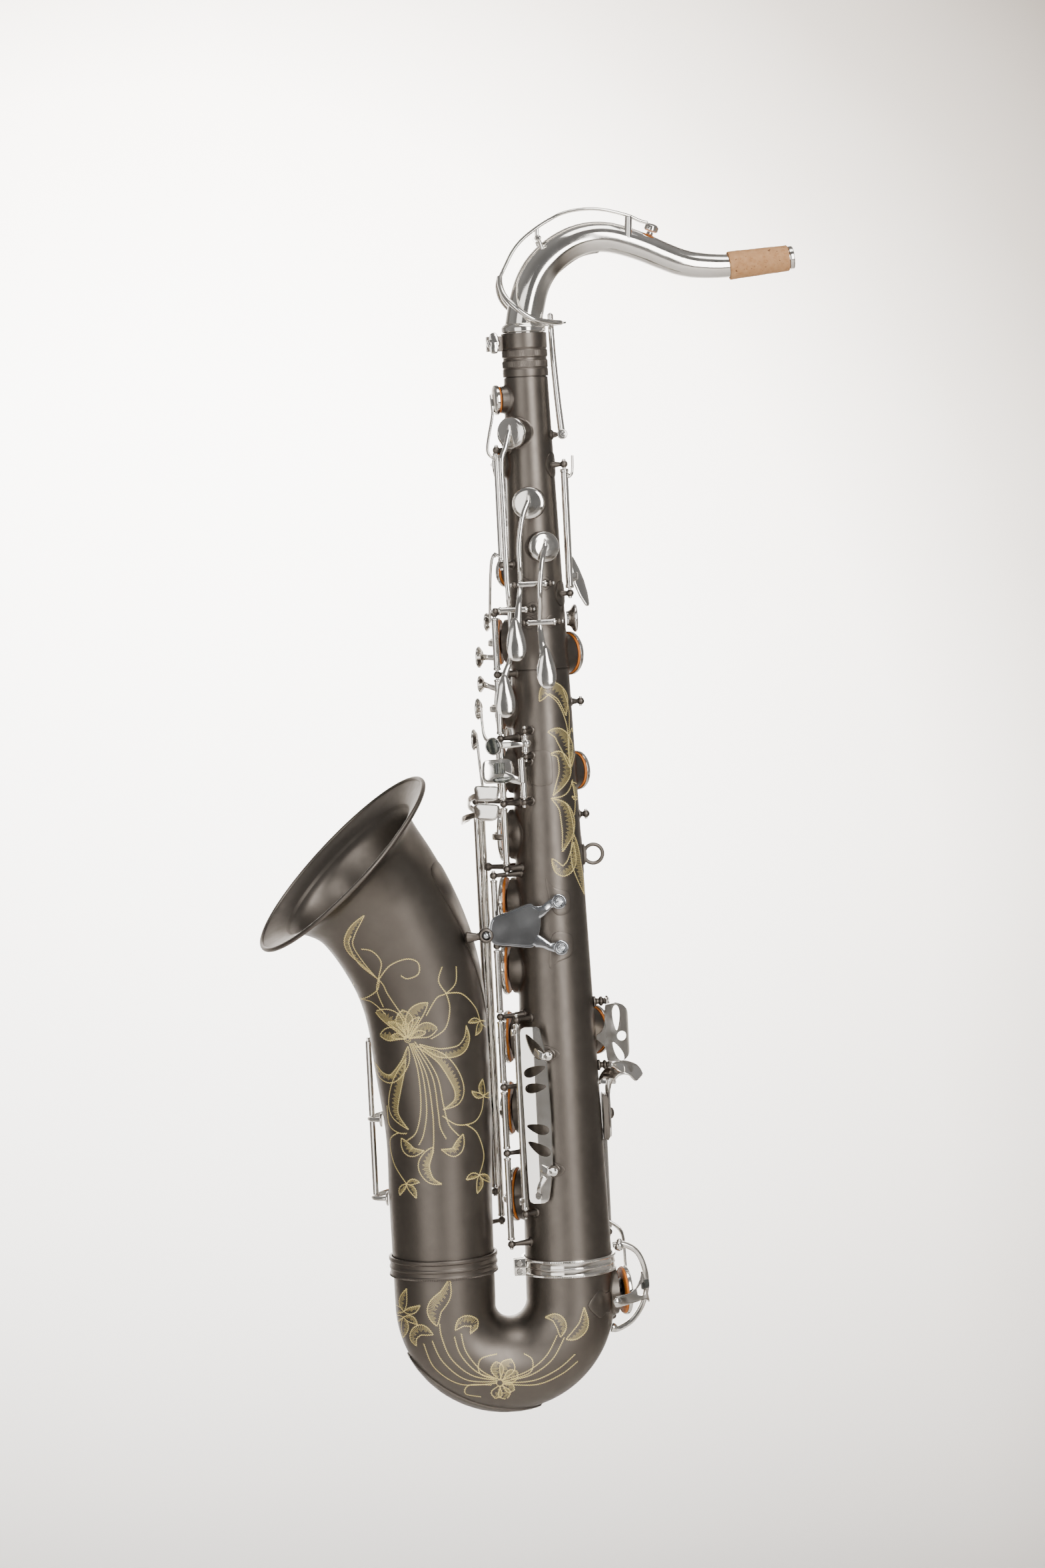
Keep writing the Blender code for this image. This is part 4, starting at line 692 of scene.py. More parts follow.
# Posts: the hinge line they stand on, and their heights.
LEVER_POSTS = [(G_LEVER_HINGE, (91.0, 73.0)), (TABLE_HINGE, (69.0, 41.0))]
PALM = {
    "palm_d": dict(y=-27.0, z=176.0, ends=(-64.0, -39.0)),
    "palm_eb": dict(y=-27.5, z=193.5, ends=(-49.8, -24.6)),
    "palm_f": dict(y=-27.0, z=166.5, ends=(-44.4, -19.4)),
}


def chimney(shape, z, angle, cup_radius, axis_x, wall, taper, top):
    """A drawn tone hole: a fillet from the wall, a rolled rim, and the inside down to the bore."""
    r = cup_radius - PAD_OVERLAP
    n, e1 = outward(angle), outward(angle + 90)
    start = Vector((axis_x, 0, z))
    steps = [(r + 1.5, "w", -0.6), (r + 1.4, "w", 0.04), (r + 0.85, "w", 0.22), (r + 0.38, "w", 0.7),
             (r + 0.1, "w", 1.5), (r, "t", -0.9), (r - 0.1, "t", -0.35), (r - 0.4, "t", -0.08),
             (r - 0.8, "t", 0.0), (r - 1.3, "t", -0.12), (r - 1.7, "t", -0.5), (r - 1.9, "t", -1.2),
             (r - 1.9, "w", -1.1)]
    rings = []
    for rho, kind, lift in steps:
        ring = []
        for k in range(72):
            t = 2 * math.pi * k / 72
            a, b = rho * math.cos(t), rho * math.sin(t)
            here = wall - b * taper
            height = math.sqrt(max(here * here - a * a, 1.0)) if kind == "w" else top
            ring.append(start + n * (height + lift) + e1 * a + UP * b)
        rings.append(ring)
    shape.skin(rings, closed=True)


def hole_cutter(shape, z, angle, cup_radius, axis_x, wall):
    r = cup_radius - PAD_OVERLAP - 1.0
    shape.lathe([(0, wall * 0.3), (r, wall * 0.3), (r, wall + CHIMNEY + 3), (0, wall + CHIMNEY + 3)],
                (axis_x, 0, z), outward(angle), 72)


def ball_post(shape, point, foot, size=1.0, elbow=None, flange=3.5):
    """A turned post: a flange on the wall, a waist, and the ball on the hinge's line."""
    point, foot = Vector(point), Vector(foot)
    if elbow:
        elbow = Vector(elbow)
        shape.rod([foot, foot.lerp(elbow, 0.75), elbow, elbow.lerp(point, 0.5), point],
                  [2.5 * size, 2.0 * size, 1.9 * size, 1.7 * size, 1.5 * size], 16, 4)
        head = elbow
    else:
        head = point
    d = (head - foot).normalized()
    reach = (head - foot).length
    base = [(0, -0.9), (flange * size, -0.9), (flange * size, 0.5), (flange * size * 0.9, 0.9),
            (2.5 * size, 1.15)]
    if elbow:
        shape.lathe(base + [(0, 1.3)], foot, d, 32)
    else:
        waist = [(2.1 * size, reach * 0.3), (1.65 * size, reach * 0.6), (1.5 * size, reach - 2.6 * size),
                 (1.75 * size, reach - 2.2 * size), (0, reach)]
        shape.lathe(base + waist, foot, d, 32)
    shape.ball(point, BALL_RADIUS * size, 28)


def foot_under(x, y, z):
    reach = Vector((x - AXIS_X, y, 0)).normalized()
    return Vector((AXIS_X, 0, z)) + reach * (tube_radius(z) - 0.1)


def tube_posts(shape, screws):
    for line, heights in TUBE_POSTS + LEVER_POSTS:
        size = 0.9 if line in (G_LEVER_HINGE, TABLE_HINGE) else 1.0
        for z in heights:
            point = Vector((line[0], line[1], z))
            ball_post(shape, point, foot_under(line[0], line[1], z), size)
            screws.rod([point - UP * 3.7, point + UP * 3.7], 1.2, 16, 1)
        for z, sign in ((heights[0], 1), (heights[-1], -1)):
            rounded_screw(screws, (line[0], line[1], z + sign * BALL_RADIUS * size * 0.96),
                          (0, 0, sign), 1.35, 0.7)
    step = BALL_RADIUS * 0.85
    for item in PALM.values():
        for x, sign in zip(item["ends"], (-1, 1)):
            point = Vector((x, item["y"], item["z"]))
            ball_post(shape, point, foot_under(x, item["y"], item["z"]), 0.85,
                      point + Vector((0, 6.0, 0)))
            screws.rod([point - Vector((3.2, 0, 0)), point + Vector((3.2, 0, 0))], 1.0, 16, 1)
            rounded_screw(screws, point + Vector((sign * step * 0.97, 0, 0)), (sign, 0, 0), 1.2, 0.6)
    for z in (108.6, 28.5):
        point = Vector((AXIS_X + 28.0, 2.0, z))
        ball_post(shape, point, foot_under(point.x, point.y, z))
        screws.rod([point - UP * 3.5, point + UP * 3.5], 1.1, 16, 1)
    x, y, z = AXIS_X - 41.3, 22.3, -7.0
    ball_post(shape, (x, y, z), foot_under(x, y, z), 1.15)
    x, y, z = OCTAVE_ROCKER_HINGE
    ball_post(shape, (x, y + 7.0, z), foot_under(x, y + 7.0, z))
    screws.rod([(x, y - 5.0, z), (x, y + 7.0, z)], 1.1, 16, 1)
    rounded_screw(screws, (x, y - 4.6, z), (0, -1, 0), 1.7, 0.8)


def outline_box(cx, cy, half_x, half_y):
    """A rounded box as a closed outline."""
    corner = 0.35
    points = []
    for sx, sy in ((1, -1), (1, 1), (-1, 1), (-1, -1)):
        a = (cx + sx * half_x, cy + sy * half_y * (1 - corner))
        b = (cx + sx * half_x * (1 - corner), cy + sy * half_y)
        points += [a, b] if sx * sy > 0 else [b, a]
    return points


def base_plates(shape):
    """The shaped plates between the tube and what is soldered to it."""
    shape.patch(on_tube, outline_box(-103, 64, 20, 12), 0.55)
    shape.patch(on_tube, [(-104, -14), (-92, -20), (-66, -24), (-62, -30), (-66, -38), (-92, -38)], 0.6)
    shape.patch(on_tube, [(-96, -53), (-66, -54), (-62, -62), (-68, -69), (-92, -73), (-104, -76)], 0.6)
    for z, angle in ((-137.5, -114.0), (-219.5, -114.0)):
        shape.patch(on_tube, [(angle + 20, z), (angle + 2, z + 6), (angle - 14, z + 5),
                              (angle - 14, z - 5), (angle + 2, z - 6)], 0.7, 3)
    for item in PALM.values():
        for x in item["ends"]:
            angle = math.degrees(math.atan2(item["y"], x - AXIS_X))
            z = item["z"]
            shape.patch(on_tube, [(angle + 17, z), (angle + 5, z + 4.4), (angle - 5, z + 4.4),
                                  (angle - 17, z), (angle - 5, z - 4.4), (angle + 5, z - 4.4)], 0.6)
    for line, heights in ((OCTAVE_LINE, (276.0, 185.5)), (G_SHARP_LINE, (170.0, 28.0))):
        for z in heights:
            angle = math.degrees(math.atan2(line[1], line[0] - AXIS_X))
            per_degree = tube_radius(z) * math.pi / 180
            shape.patch(on_tube, [(angle + 7.5 * math.cos(t) / per_degree, z + 9.0 * math.sin(t))
                                  for t in [2 * math.pi * k / 24 for k in range(24)]], 0.8, 1)


def make_body_tube():
    """The cone with its drawn tone holes, joint line, base plates and posts."""
    levels = [TUBE_BOTTOM + (338.0 - TUBE_BOTTOM) * k / 78 for k in range(79)]
    profile = []
    for z in levels:
        if z > JOINT_LINE and profile and profile[-1][1] < JOINT_LINE:
            r = tube_radius(JOINT_LINE)
            profile += [(r, JOINT_LINE - 0.45), (r - 0.4, JOINT_LINE - 0.15),
                        (r - 0.4, JOINT_LINE + 0.15), (r + 0.3, JOINT_LINE + 0.5),
                        (r + 0.25, JOINT_LINE + 3.0)]
            continue
        profile.append((tube_radius(z), z))
    profile += [(14.4, 338.3), (14.4, TUBE_TOP), (13.35, TUBE_TOP)]
    profile += [(tube_radius(z) - WALL, z) for z in (330.0, 200.0, 0.0, -150.0, TUBE_BOTTOM)]
    skin = Shape()
    skin.hoop(profile, (AXIS_X, 0, 0), UP, 160)
    item = object_from("body_tube", skin)
    for stack in (True, False):
        cutters = Shape()
        for z, angle, cup_radius in HOLES.values():
            if (angle > 130) == stack:
                hole_cutter(cutters, z, angle, cup_radius, AXIS_X, tube_radius(z))
        cut(item, cutters)
    settle(item, "black_nickel", "horn", ["body_tube"], angle=30)
    extra, screws = Shape(), Shape()
    for z, angle, cup_radius in HOLES.values():
        chimney(extra, z, angle, cup_radius, AXIS_X, tube_radius(z), TAPER, tube_radius(z) + CHIMNEY)
    tube_posts(extra, screws)
    base_plates(extra)
    plated("body_tone_holes_and_posts", extra, "black_nickel", nodes=["body_tube"])
    plated("post_screws", screws, "silver", nodes=())
    return item


def knurl(shape, axis_x, radius, low, high, count, depth):
    """A band of fine upright ridges round an upright axis."""
    centre = Vector((axis_x, 0, 0))
    rings = []
    for k in range(count * 2):
        t = math.pi * k / count
        r = radius + (depth if k % 2 else 0.0)
        out = Vector((math.cos(t), math.sin(t), 0))
        rings.append([centre + out * (radius - 0.9) + UP * low, centre + out * r + UP * (low + 0.15),
                      centre + out * r + UP * (high - 0.15), centre + out * (radius - 0.9) + UP * high])
    shape.skin(rings, closed=True)


def make_receiver():
    """The split collar at the top of the tube, its knurls and ears, and its clamping screw."""
    profile = [(14.7, 338.6), (16.0, 338.6), (16.0, 343.6), (15.5, 344.2), (15.9, 345.0), (15.9, 349.6),
               (15.3, 350.3), (15.3, 351.6), (15.9, 352.3), (15.9, 357.0), (15.4, 357.6), (16.0, 358.8),
               (16.0, 369.0), (14.1, 369.0), (14.1, 352.6), (14.7, 352.6)]
    body = Shape()
    body.hoop(profile, (AXIS_X, 0, 0), UP, 128, 0.25)
    item = object_from("neck_receiver", body)
    slot = Shape()
    slot.plate([(-18.0, 357.5), (-12.0, 357.5), (-12.0, 372.0), (-18.0, 372.0)], 1.4, (AXIS_X, 0, 0),
               (1, 0, 0), UP, 0.05, 1)
    cut(item, slot)
    settle(item, "black_nickel", "horn", ["neck_receiver"])
    extra = Shape()
    knurl(extra, AXIS_X, 15.85, 345.2, 349.4, 110, 0.16)
    knurl(extra, AXIS_X, 15.85, 352.5, 356.8, 110, 0.16)
    for y in (-2.6, 2.6):
        extra.plate([(-26.5, 357.0), (-15.2, 357.0), (-15.2, 367.5), (-26.5, 367.5)], 3.8,
                    (AXIS_X, y, 0), (1, 0, 0), UP, 0.7, 1)
    plated("receiver_ears_and_knurls", extra, "black_nickel", nodes=["neck_receiver"])
    screw = Shape()
    start = Vector((AXIS_X - SCREW_REACH, 0, 362.5))
    screw.lathe([(0, -6.0), (1.7, -6.0), (1.7, 4.9), (3.4, 4.9), (4.6, 5.6), (4.6, 8.0), (3.6, 8.8),
                 (0, 9.0)], start, (0, -1, 0), 48, 0.3)
    screw.plate([(-1.9, -7.0), (1.9, -7.0), (3.4, -3.0), (2.4, 0.0), (3.4, 3.0), (1.9, 7.0), (-1.9, 7.0),
                 (-3.4, 3.0), (-2.4, 0.0), (-3.4, -3.0)], 2.4, start + Vector((0, -9.6, 0)), (1, 0, 0),
                UP, 0.7)
    plated("receiver_screw", screw, "silver")


# ---------------------------------------------------------------- bow and bell

def bow_rings(shrink, sides):
    """Rings of the bow from the body's end to the bell's end."""
    rings = []
    places = [(Vector((AXIS_X, 0, TUBE_BOTTOM - GAP)), 0.0), (Vector((AXIS_X, 0, -303.0)), 0.0)]
    places += [(bow_point(a), float(a)) for a in range(0, 181, 3)]
    places += [(Vector((BELL_X, 0, -298.0)), 180.0),
               (Vector((BELL_X - 0.1, 0, BELL_BOTTOM - GAP)), 180.0)]
    for index, (centre, angle) in enumerate(places):
        t = math.radians(angle)
        out = Vector((math.cos(t), 0, -math.sin(t)))
        extra = {0: -15.0, 1: -7.0, len(places) - 2: 8.0, len(places) - 1: 15.0}.get(index, 0.0)
        r = bow_radius(angle + extra) - shrink
        rings.append(circle(centre, out, Vector((0, 1, 0)), r, sides))
    return rings


def make_bow():
    """The U bend with the low C tone hole, its leaf-shaped plate and its post."""
    skin = Shape()
    skin.skin(bow_rings(0.0, 128) + bow_rings(WALL, 128)[::-1], closed=True)
    item = object_from("bow", skin)
    cutters = Shape()
    z, angle, cup_radius = LOW_C_HOLE
    hole_cutter(cutters, z, angle, cup_radius, AXIS_X, BOW_WALL)
    cut(item, cutters)
    settle(item, "black_nickel", "horn", ["bow"], angle=30)
    extra = Shape()
    chimney(extra, z, angle, cup_radius, AXIS_X, BOW_WALL + 0.9, 0.0, BOW_WALL + CHIMNEY)
    leaf = []
    for k in range(24):
        t = 2 * math.pi * k / 24
        width = 4.0 + 28.0 * abs(math.sin(t)) ** 1.3
        leaf.append((115.0 + 41.0 * math.cos(t), math.copysign(width, math.sin(t))))
    extra.patch(on_bow, leaf, 1.5, 1)
    extra.patch(on_bow, [(2, -74), (-7, -56), (-4, -44), (-3.5, -30), (7.5, -30), (8, -44), (11, -56)],
                0.9, 3)
    x, y = LOW_C_LINE
    reach = Vector((x - AXIS_X, y, 0)).normalized()
    ball_post(extra, (x, y, -337.0), Vector((AXIS_X, 0, -331.0)) + reach * 29.5)
    plated("bow_fittings", extra, "black_nickel", nodes=["bow"])
    return item


def make_clamp_ring():
    """The silver band between tube and bow, with two screws through its ears."""
    inner = tube_radius(-284.0) + GAP + 0.3
    outer = inner + 2.0
    ring = Shape()
    ring.hoop([(inner, -296.3), (outer + 0.1, -296.3), (outer + 0.3, -294.9), (outer - 0.5, -294.2),
               (outer - 0.5, -291.2), (outer - 0.1, -290.9), (outer - 0.1, -289.9), (outer - 0.5, -289.6),
               (outer - 0.5, -286.3), (outer + 0.3, -285.6), (outer + 0.1, -284.2), (inner, -284.2)],
              (AXIS_X, 0, 0), UP, 144, 0.3)
    knurl(ring, AXIS_X, outer + 0.1, -296.2, -294.7, 170, 0.3)
    knurl(ring, AXIS_X, outer + 0.1, -285.8, -284.4, 170, 0.3)
    for y in (-8.6, -3.2):
        ring.plate([(-inner - 8.5, -296.3), (-inner - 0.3, -296.3), (-inner - 0.3, -284.2),
                    (-inner - 8.5, -284.2)], 3.4, (AXIS_X, y, 0), (1, 0, 0), UP, 0.6, 1)
    for z in (-293.2, -287.4):
        ring.rod([(AXIS_X - inner - 5.0, -9.5, z), (AXIS_X - inner - 5.0, -1.0, z)], 1.5, 20, 1)
        rounded_screw(ring, (AXIS_X - inner - 5.0, -10.2, z), (0, -1, 0), 2.2, 1.4)
    plated("bow_clamp_ring", ring, "silver")


def make_bell_ring():
    inner = 36.5
    ring = Shape()
    ring.hoop([(inner, -291.5), (inner + 1.7, -291.5), (inner + 2.0, -289.6), (inner + 1.3, -289.0),
               (inner + 1.3, -286.4), (inner + 1.9, -285.7), (inner + 1.9, -284.4), (inner + 1.3, -283.7),
               (inner + 1.3, -280.8), (inner + 2.1, -280.1), (inner + 2.1, -277.9), (inner + 1.5, -277.5),
               (inner, -277.5)], (BELL_X, 0, 0), UP, 144, 0.3)
    knurl(ring, BELL_X, inner + 1.8, -291.4, -290.1, 190, 0.3)
    plated("bell_ring", ring, "black_nickel")


def bell_rings(shrink, sides, first, last, lift=0.0):
    """Rings of the bell, eight to a section."""
    step = 0.125
    rings = []
    for k in range(int(round((last - first) / step)) + 1):
        share = first + k * step
        along = bell_at(share)[2]
        rings.append([on_bell(360.0 * j / sides, share, -shrink) + along * lift for j in range(sides)])
    return rings


def make_bell():
    """The flared skin with two tone holes and a rolled rim."""
    sides = 144
    skin = Shape()
    outer = bell_rings(0.0, sides, 0.0, 13.0)
    inner = bell_rings(WALL, sides, 0.0, 10.0) + bell_rings(WALL, sides, 10.125, 13.0, lift=0.9)
    skin.skin(outer + inner[::-1], closed=True)
    item = object_from("bell", skin)
    cutters = Shape()
    for z, angle, cup_radius, wall in BELL_HOLES.values():
        hole_cutter(cutters, z, angle, cup_radius, BELL_X, wall)
    cut(item, cutters)
    settle(item, "black_nickel", "horn", ["bell"], angle=30)
    extra, screws = Shape(), Shape()
    for z, angle, cup_radius, wall in BELL_HOLES.values():
        chimney(extra, z, angle, cup_radius, BELL_X, wall - 0.5, 0.02, wall + CHIMNEY)
    centre, radius, along = bell_at(13.0)
    extra.hoop(wire(radius - 0.6, 0.4, 1.7, 20), centre, along, sides)
    for line, z in ((LOW_B_LINE, -240.0), (LOW_BB_LINE, -262.0)):
        reach = Vector((line[0] - BELL_X, line[1], 0)).normalized()
        ball_post(extra, (line[0], line[1], z), Vector((BELL_X, 0, z)) + reach * 35.8)
        screws.rod([(line[0], line[1], z - 1), (line[0], line[1], z + 3.7)], 1.2, 16, 1)
        rounded_screw(screws, (line[0], line[1], z - 2.6), (0, 0, -1), 1.35, 0.7)
    extra.patch(on_bell, [(-37, 7.7), (-4, 7.6), (6, 6.4), (12, 4.2), (6, 3.0), (-6, 3.6), (-20, 4.4),
                          (-30, 5.6)], 0.6)
    plated("bell_rim_and_fittings", extra, "black_nickel", nodes=["bell"])
    plated("bell_post_screws", screws, "silver", nodes=())
    return item


# ---------------------------------------------------------------- fittings

def make_strap_ring():
    ring = Shape()
    ring.hoop(wire(6.65, 0.0, 1.35, 16), (0, 0, 0), (0, 1, 0), 64)
    edge = AXIS_X + tube_radius(0) + GAP + 0.1
    ring.plate([(edge, -7.0), (edge + 1.5, -6.2), (edge + 2.6, -2.0), (edge + 2.6, 2.0),
                (edge + 1.5, 6.2), (edge, 7.0)], 4.4, (0, 0, 0), (1, 0, 0), UP, 0.6, 2)
    ring.patch(on_tube, [(18, 0), (6, 12.0), (-6, 12.0), (-18, 0), (-6, -12.0), (6, -12.0)], 0.35)
    plated("strap_ring", ring, "black_nickel")


def make_thumb_rest():
    start = around(-2.0, tube_radius(167.5) + GAP + 0.5, 167.5)
    rest = Shape()
    rest.lathe([(0, 0), (5.2, 0), (5.2, 1.4), (6.4, 3.0), (8.9, 4.4), (9.8, 5.6), (9.8, 6.6), (9.2, 7.4),
                (7.8, 7.7), (5.0, 7.5), (0, 7.9)], start, outward(-2.0), 64, 0.5)
    plated("thumb_rest", rest, "silver")


def make_thumb_hook():
    """A dark base block, a silver slide and tilted blade, and a dark domed screw."""
    edge = AXIS_X + tube_radius(-203.0) + GAP + 0.1
    base = Shape()
    base.plate([(edge, -202.0), (edge + 1.2, -203.0), (edge + 4.2, -202.4), (edge + 4.2, -174.0),
                (edge + 1.6, -172.0), (edge, -172.6)], 13.0, (0, 0, 0), (1, 0, 0), UP, 0.8, 2)
    base.lathe([(0, 0.6), (4.2, 0.6), (4.2, 1.2), (3.5, 2.4), (2.0, 3.2), (0, 3.5)],
               (edge + 5.2, 0, -185.5), (1, 0, 0), 40, 0.3)
    plated("thumb_hook_base", base, "black_nickel", nodes=["thumb_hook"])
    hook = Shape()
    hook.bar([(edge + 4.9, 0, -202.2), (edge + 4.9, 0, -198.0), (edge + 4.9, 0, -180.0),
              (edge + 4.7, 0, -168.0), (edge + 4.7, 0, -160.2)], [7.0, 11.6, 11.6, 11.0, 12.6], 2.0,
             (1, 0, 0), 4, 5.0, 20)
    hook.bar([(edge + 4.8, 0, -164.5), (edge + 5.2, 0, -161.0), (edge + 7.0, 0, -158.0),
              (edge + 11.0, 0, -154.9), (edge + 17.0, 0, -153.6), (edge + 23.5, 0, -156.0),
              (edge + 27.8, 0, -162.0)], [12.0, 13.0, 13.6, 14.6, 16.0, 15.0, 9.0], 2.2, (0, -0.55, 1), 7,
             5.0, 24)
    hook.rod([(edge + 4.6, -1.0, -172.0), (edge + 5.0, -1.0, -166.0), (edge + 7.4, -1.6, -160.0)],
             [1.6, 2.2, 2.0], 16, 4)
    plated("thumb_hook", hook, "silver")


def make_eb_guard():
    """A curved sheet in front of the cup and round it, with its windows, ears and spool posts."""
    edge = AXIS_X + tube_radius(-104.0) + GAP
    stations = [Vector((edge + x, y, 0)) for x, y, low, high in EB_SHEET]
    path, lows = smoothed(stations, [row[2] for row in EB_SHEET], 6)
    highs = smoothed(stations, [row[3] for row in EB_SHEET], 6)[1]
    guard = Shape()
    rings = []
    for here, along, low, high in zip(path, tangents(path), lows, highs):
        section = [(low, -0.5), (low + 0.4, -0.9), (high - 0.4, -0.9), (high, -0.5), (high, 0.5),
                   (high - 0.4, 0.9), (low + 0.4, 0.9), (low, 0.5)]
        rings.append([here + along.cross(UP) * offset + UP * z for z, offset in section])
    guard.skin(rings)
    item = object_from("eb_guard", guard)
    cuts = Shape()
    cuts.lathe([(0, 0), (3.4, 0), (3.4, 14), (0, 14)], (edge + 18.0, -14.0, -129.7), (0, 1, 0), 40)
    cuts.plate(teardrop(18.0, 6.4), 14.0, (edge + 14.5, -9.0, -116.5), (1, 0, 0), -UP, 0.05, 1)
    cuts.plate(teardrop(15.0, 6.4), 14.0, (edge + 14.8, -9.0, -140.5), (0.89, 0, 0.45), (-0.45, 0, 0.89),
               0.05, 1)
    cut(item, cuts)
    settle(item, "silver", "horn", ["eb_guard"], angle=40)
    ears, posts = Shape(), Shape()
    for z, ear in zip((-105.0, -150.4), (-106.0, -149.2)):
        ears.bar([(edge + 8.6, -9.2, ear), (edge + 8.7, -5.5, ear + (z - ear) * 0.5),
                  (edge + 8.9, -1.0, z)], [6.0, 6.4, 6.6], 1.3, (1, 0, 0), 5, 4.0, 20)
        rounded_screw(ears, (edge + 10.3, -2.0, z), (1, 0, 0), 2.3, 0.9)
        foot = AXIS_X + tube_radius(z) + GAP + 0.05
        reach = edge + 10.2 - foot
        posts.lathe([(0, -0.4), (3.9, -0.4), (3.9, 0.9), (2.3, 1.7), (2.0, reach * 0.32),
                     (3.2, reach * 0.42), (3.5, reach * 0.5), (3.2, reach * 0.58), (2.0, reach * 0.68),
                     (2.2, reach * 0.78), (3.7, reach * 0.84), (3.9, reach - 0.6), (3.2, reach),
                     (0, reach)], (foot, -2.0, z), (1, 0, 0), 40, 0.3)
    plated("eb_guard_ears", ears, "silver", nodes=["eb_guard"])
    plated("eb_guard_posts", posts, "black_nickel", nodes=["eb_guard"])


def make_low_c_guard():
    """A deep arch, a broad spoke with a three-sided window, and the cup's bumper."""
    edge = AXIS_X + tube_radius(-281.0)
    path = [(edge + 0.9, -4, -279.8), (edge + 9.0, -4, -279.8), (edge + 18.0, -3, -285.6),
            (edge + 22.9, -2, -297.0), (edge + 23.9, -2, -310.0), (edge + 20.5, -2, -323.6),
            (edge + 12.7, -3, -334.4), (edge + 4.0, -4, -339.4), (edge - 1.8, -4, -340.4)]
    arch = Shape()
    arch.bar(path, [4.8, 4.8, 5.4, 6.0, 6.4, 6.0, 5.4, 4.6, 4.0], 4.0, (1, 0, 0.01), 8, 3.4, 24)
    arch.ball((edge + 5.4, -4.2, -280.6), 3.7, 32)
    arch.ball((edge + 5.8, -4.4, -277.2), 2.0, 24)
    arch.lathe([(0, -1.0), (3.7, -1.0), (3.7, 0.6), (2.8, 2.2), (0, 3.0)], (edge - 0.5, -27.4, -316.5),
               (0.25, -1, 0), 40, 0.5)
    arch.lathe([(0, -1.6), (3.4, -1.6), (3.4, 0.0), (2.4, 2.0), (0, 2.6)], (edge - 1.0, -4, -339.2),
               (1, 0, -0.3), 32, 0.4)
    plated("low_c_guard", arch, "silver")
    spoke = Shape()
    spoke.bar([(edge + 23.0, -4.4, -311.0), (edge + 20.2, -11.0, -312.0), (edge + 15.5, -18.6, -313.7),
               (edge + 8.0, -23.8, -315.5), (edge - 1.0, -26.3, -316.5)], [23.0, 15.0, 9.6, 7.5, 8.0],
              1.8, (0.3, -1, 0), 8, 6.0, 24)
    item = object_from("low_c_guard_spoke", spoke)
    cuts = Shape()
    cuts.plate([(-4.6, 0.2), (3.6, 5.4), (4.2, -3.6)], 16.0, (edge + 17.6, -12.0, -312.0), (1, 0, 0), UP,
               0.05, 3)
    cut(item, cuts)
    settle(item, "silver", "horn", ["low_c_guard"])
    felt = Shape()
    felt.lathe([(0, -3.4), (4.2, -3.4), (4.4, -2.6), (4.4, 1.6), (3.4, 2.2), (0, 2.3)],
               (edge + 23.7, -2, -309.0), (1, 0, 0), 40, 0.4)
    piece("low_c_guard_bumper", felt, "felt", "horn", ["low_c_guard"])


def make_bell_key_guard():
    """The open frame over the two bell cups, with three bumpers."""
    near, far = 74.0, 150.0

    def reach(angle):
        return 50.6 + 11.0 * (far - angle) / (far - near)

    heights = (-126.0, -181.5, -238.0)
    guard = Shape()
    for angle in (near, far):
        guard.bar([around_bell(angle, reach(angle), z) for z in (-126.0, -153.0, -181.5, -210.0, -238.0)],
                  4.0, 2.0 if angle == near else 3.4, outward(angle))
    for z in heights:
        arc = [around_bell(a, reach(a), z) for a in (72, 82, 92, 102, 112, 122, 132, 142, 152)]
        guard.bar(arc, 4.0, 1.8, outward(110))
    for z in heights[1:]:
        wall = 39.2 if z > -200 else 37.6
        foot = [around_bell(148, 50.6, z), around_bell(156, 50.4, z), around_bell(163, 46.0, z),
                around_bell(166, wall + 0.5, z)]
        guard.rod(foot, 1.7, 16)
        guard.lathe([(0, -0.4), (5.0, -0.4), (5.0, 0.6), (3.4, 1.4), (0, 1.6)],
                    around_bell(166, wall + 0.1, z), outward(166), 40, 0.3)
    for a, z in ((104, -126.0), (104, -181.5), (110, -238.0)):
        guard.lathe([(0, -1.6), (4.2, -1.6), (4.2, 1.2), (3.2, 1.8), (0, 2.0)],
                    around_bell(a, reach(a), z), outward(a), 36, 0.3)
    plated("bell_key_guard", guard, "silver")


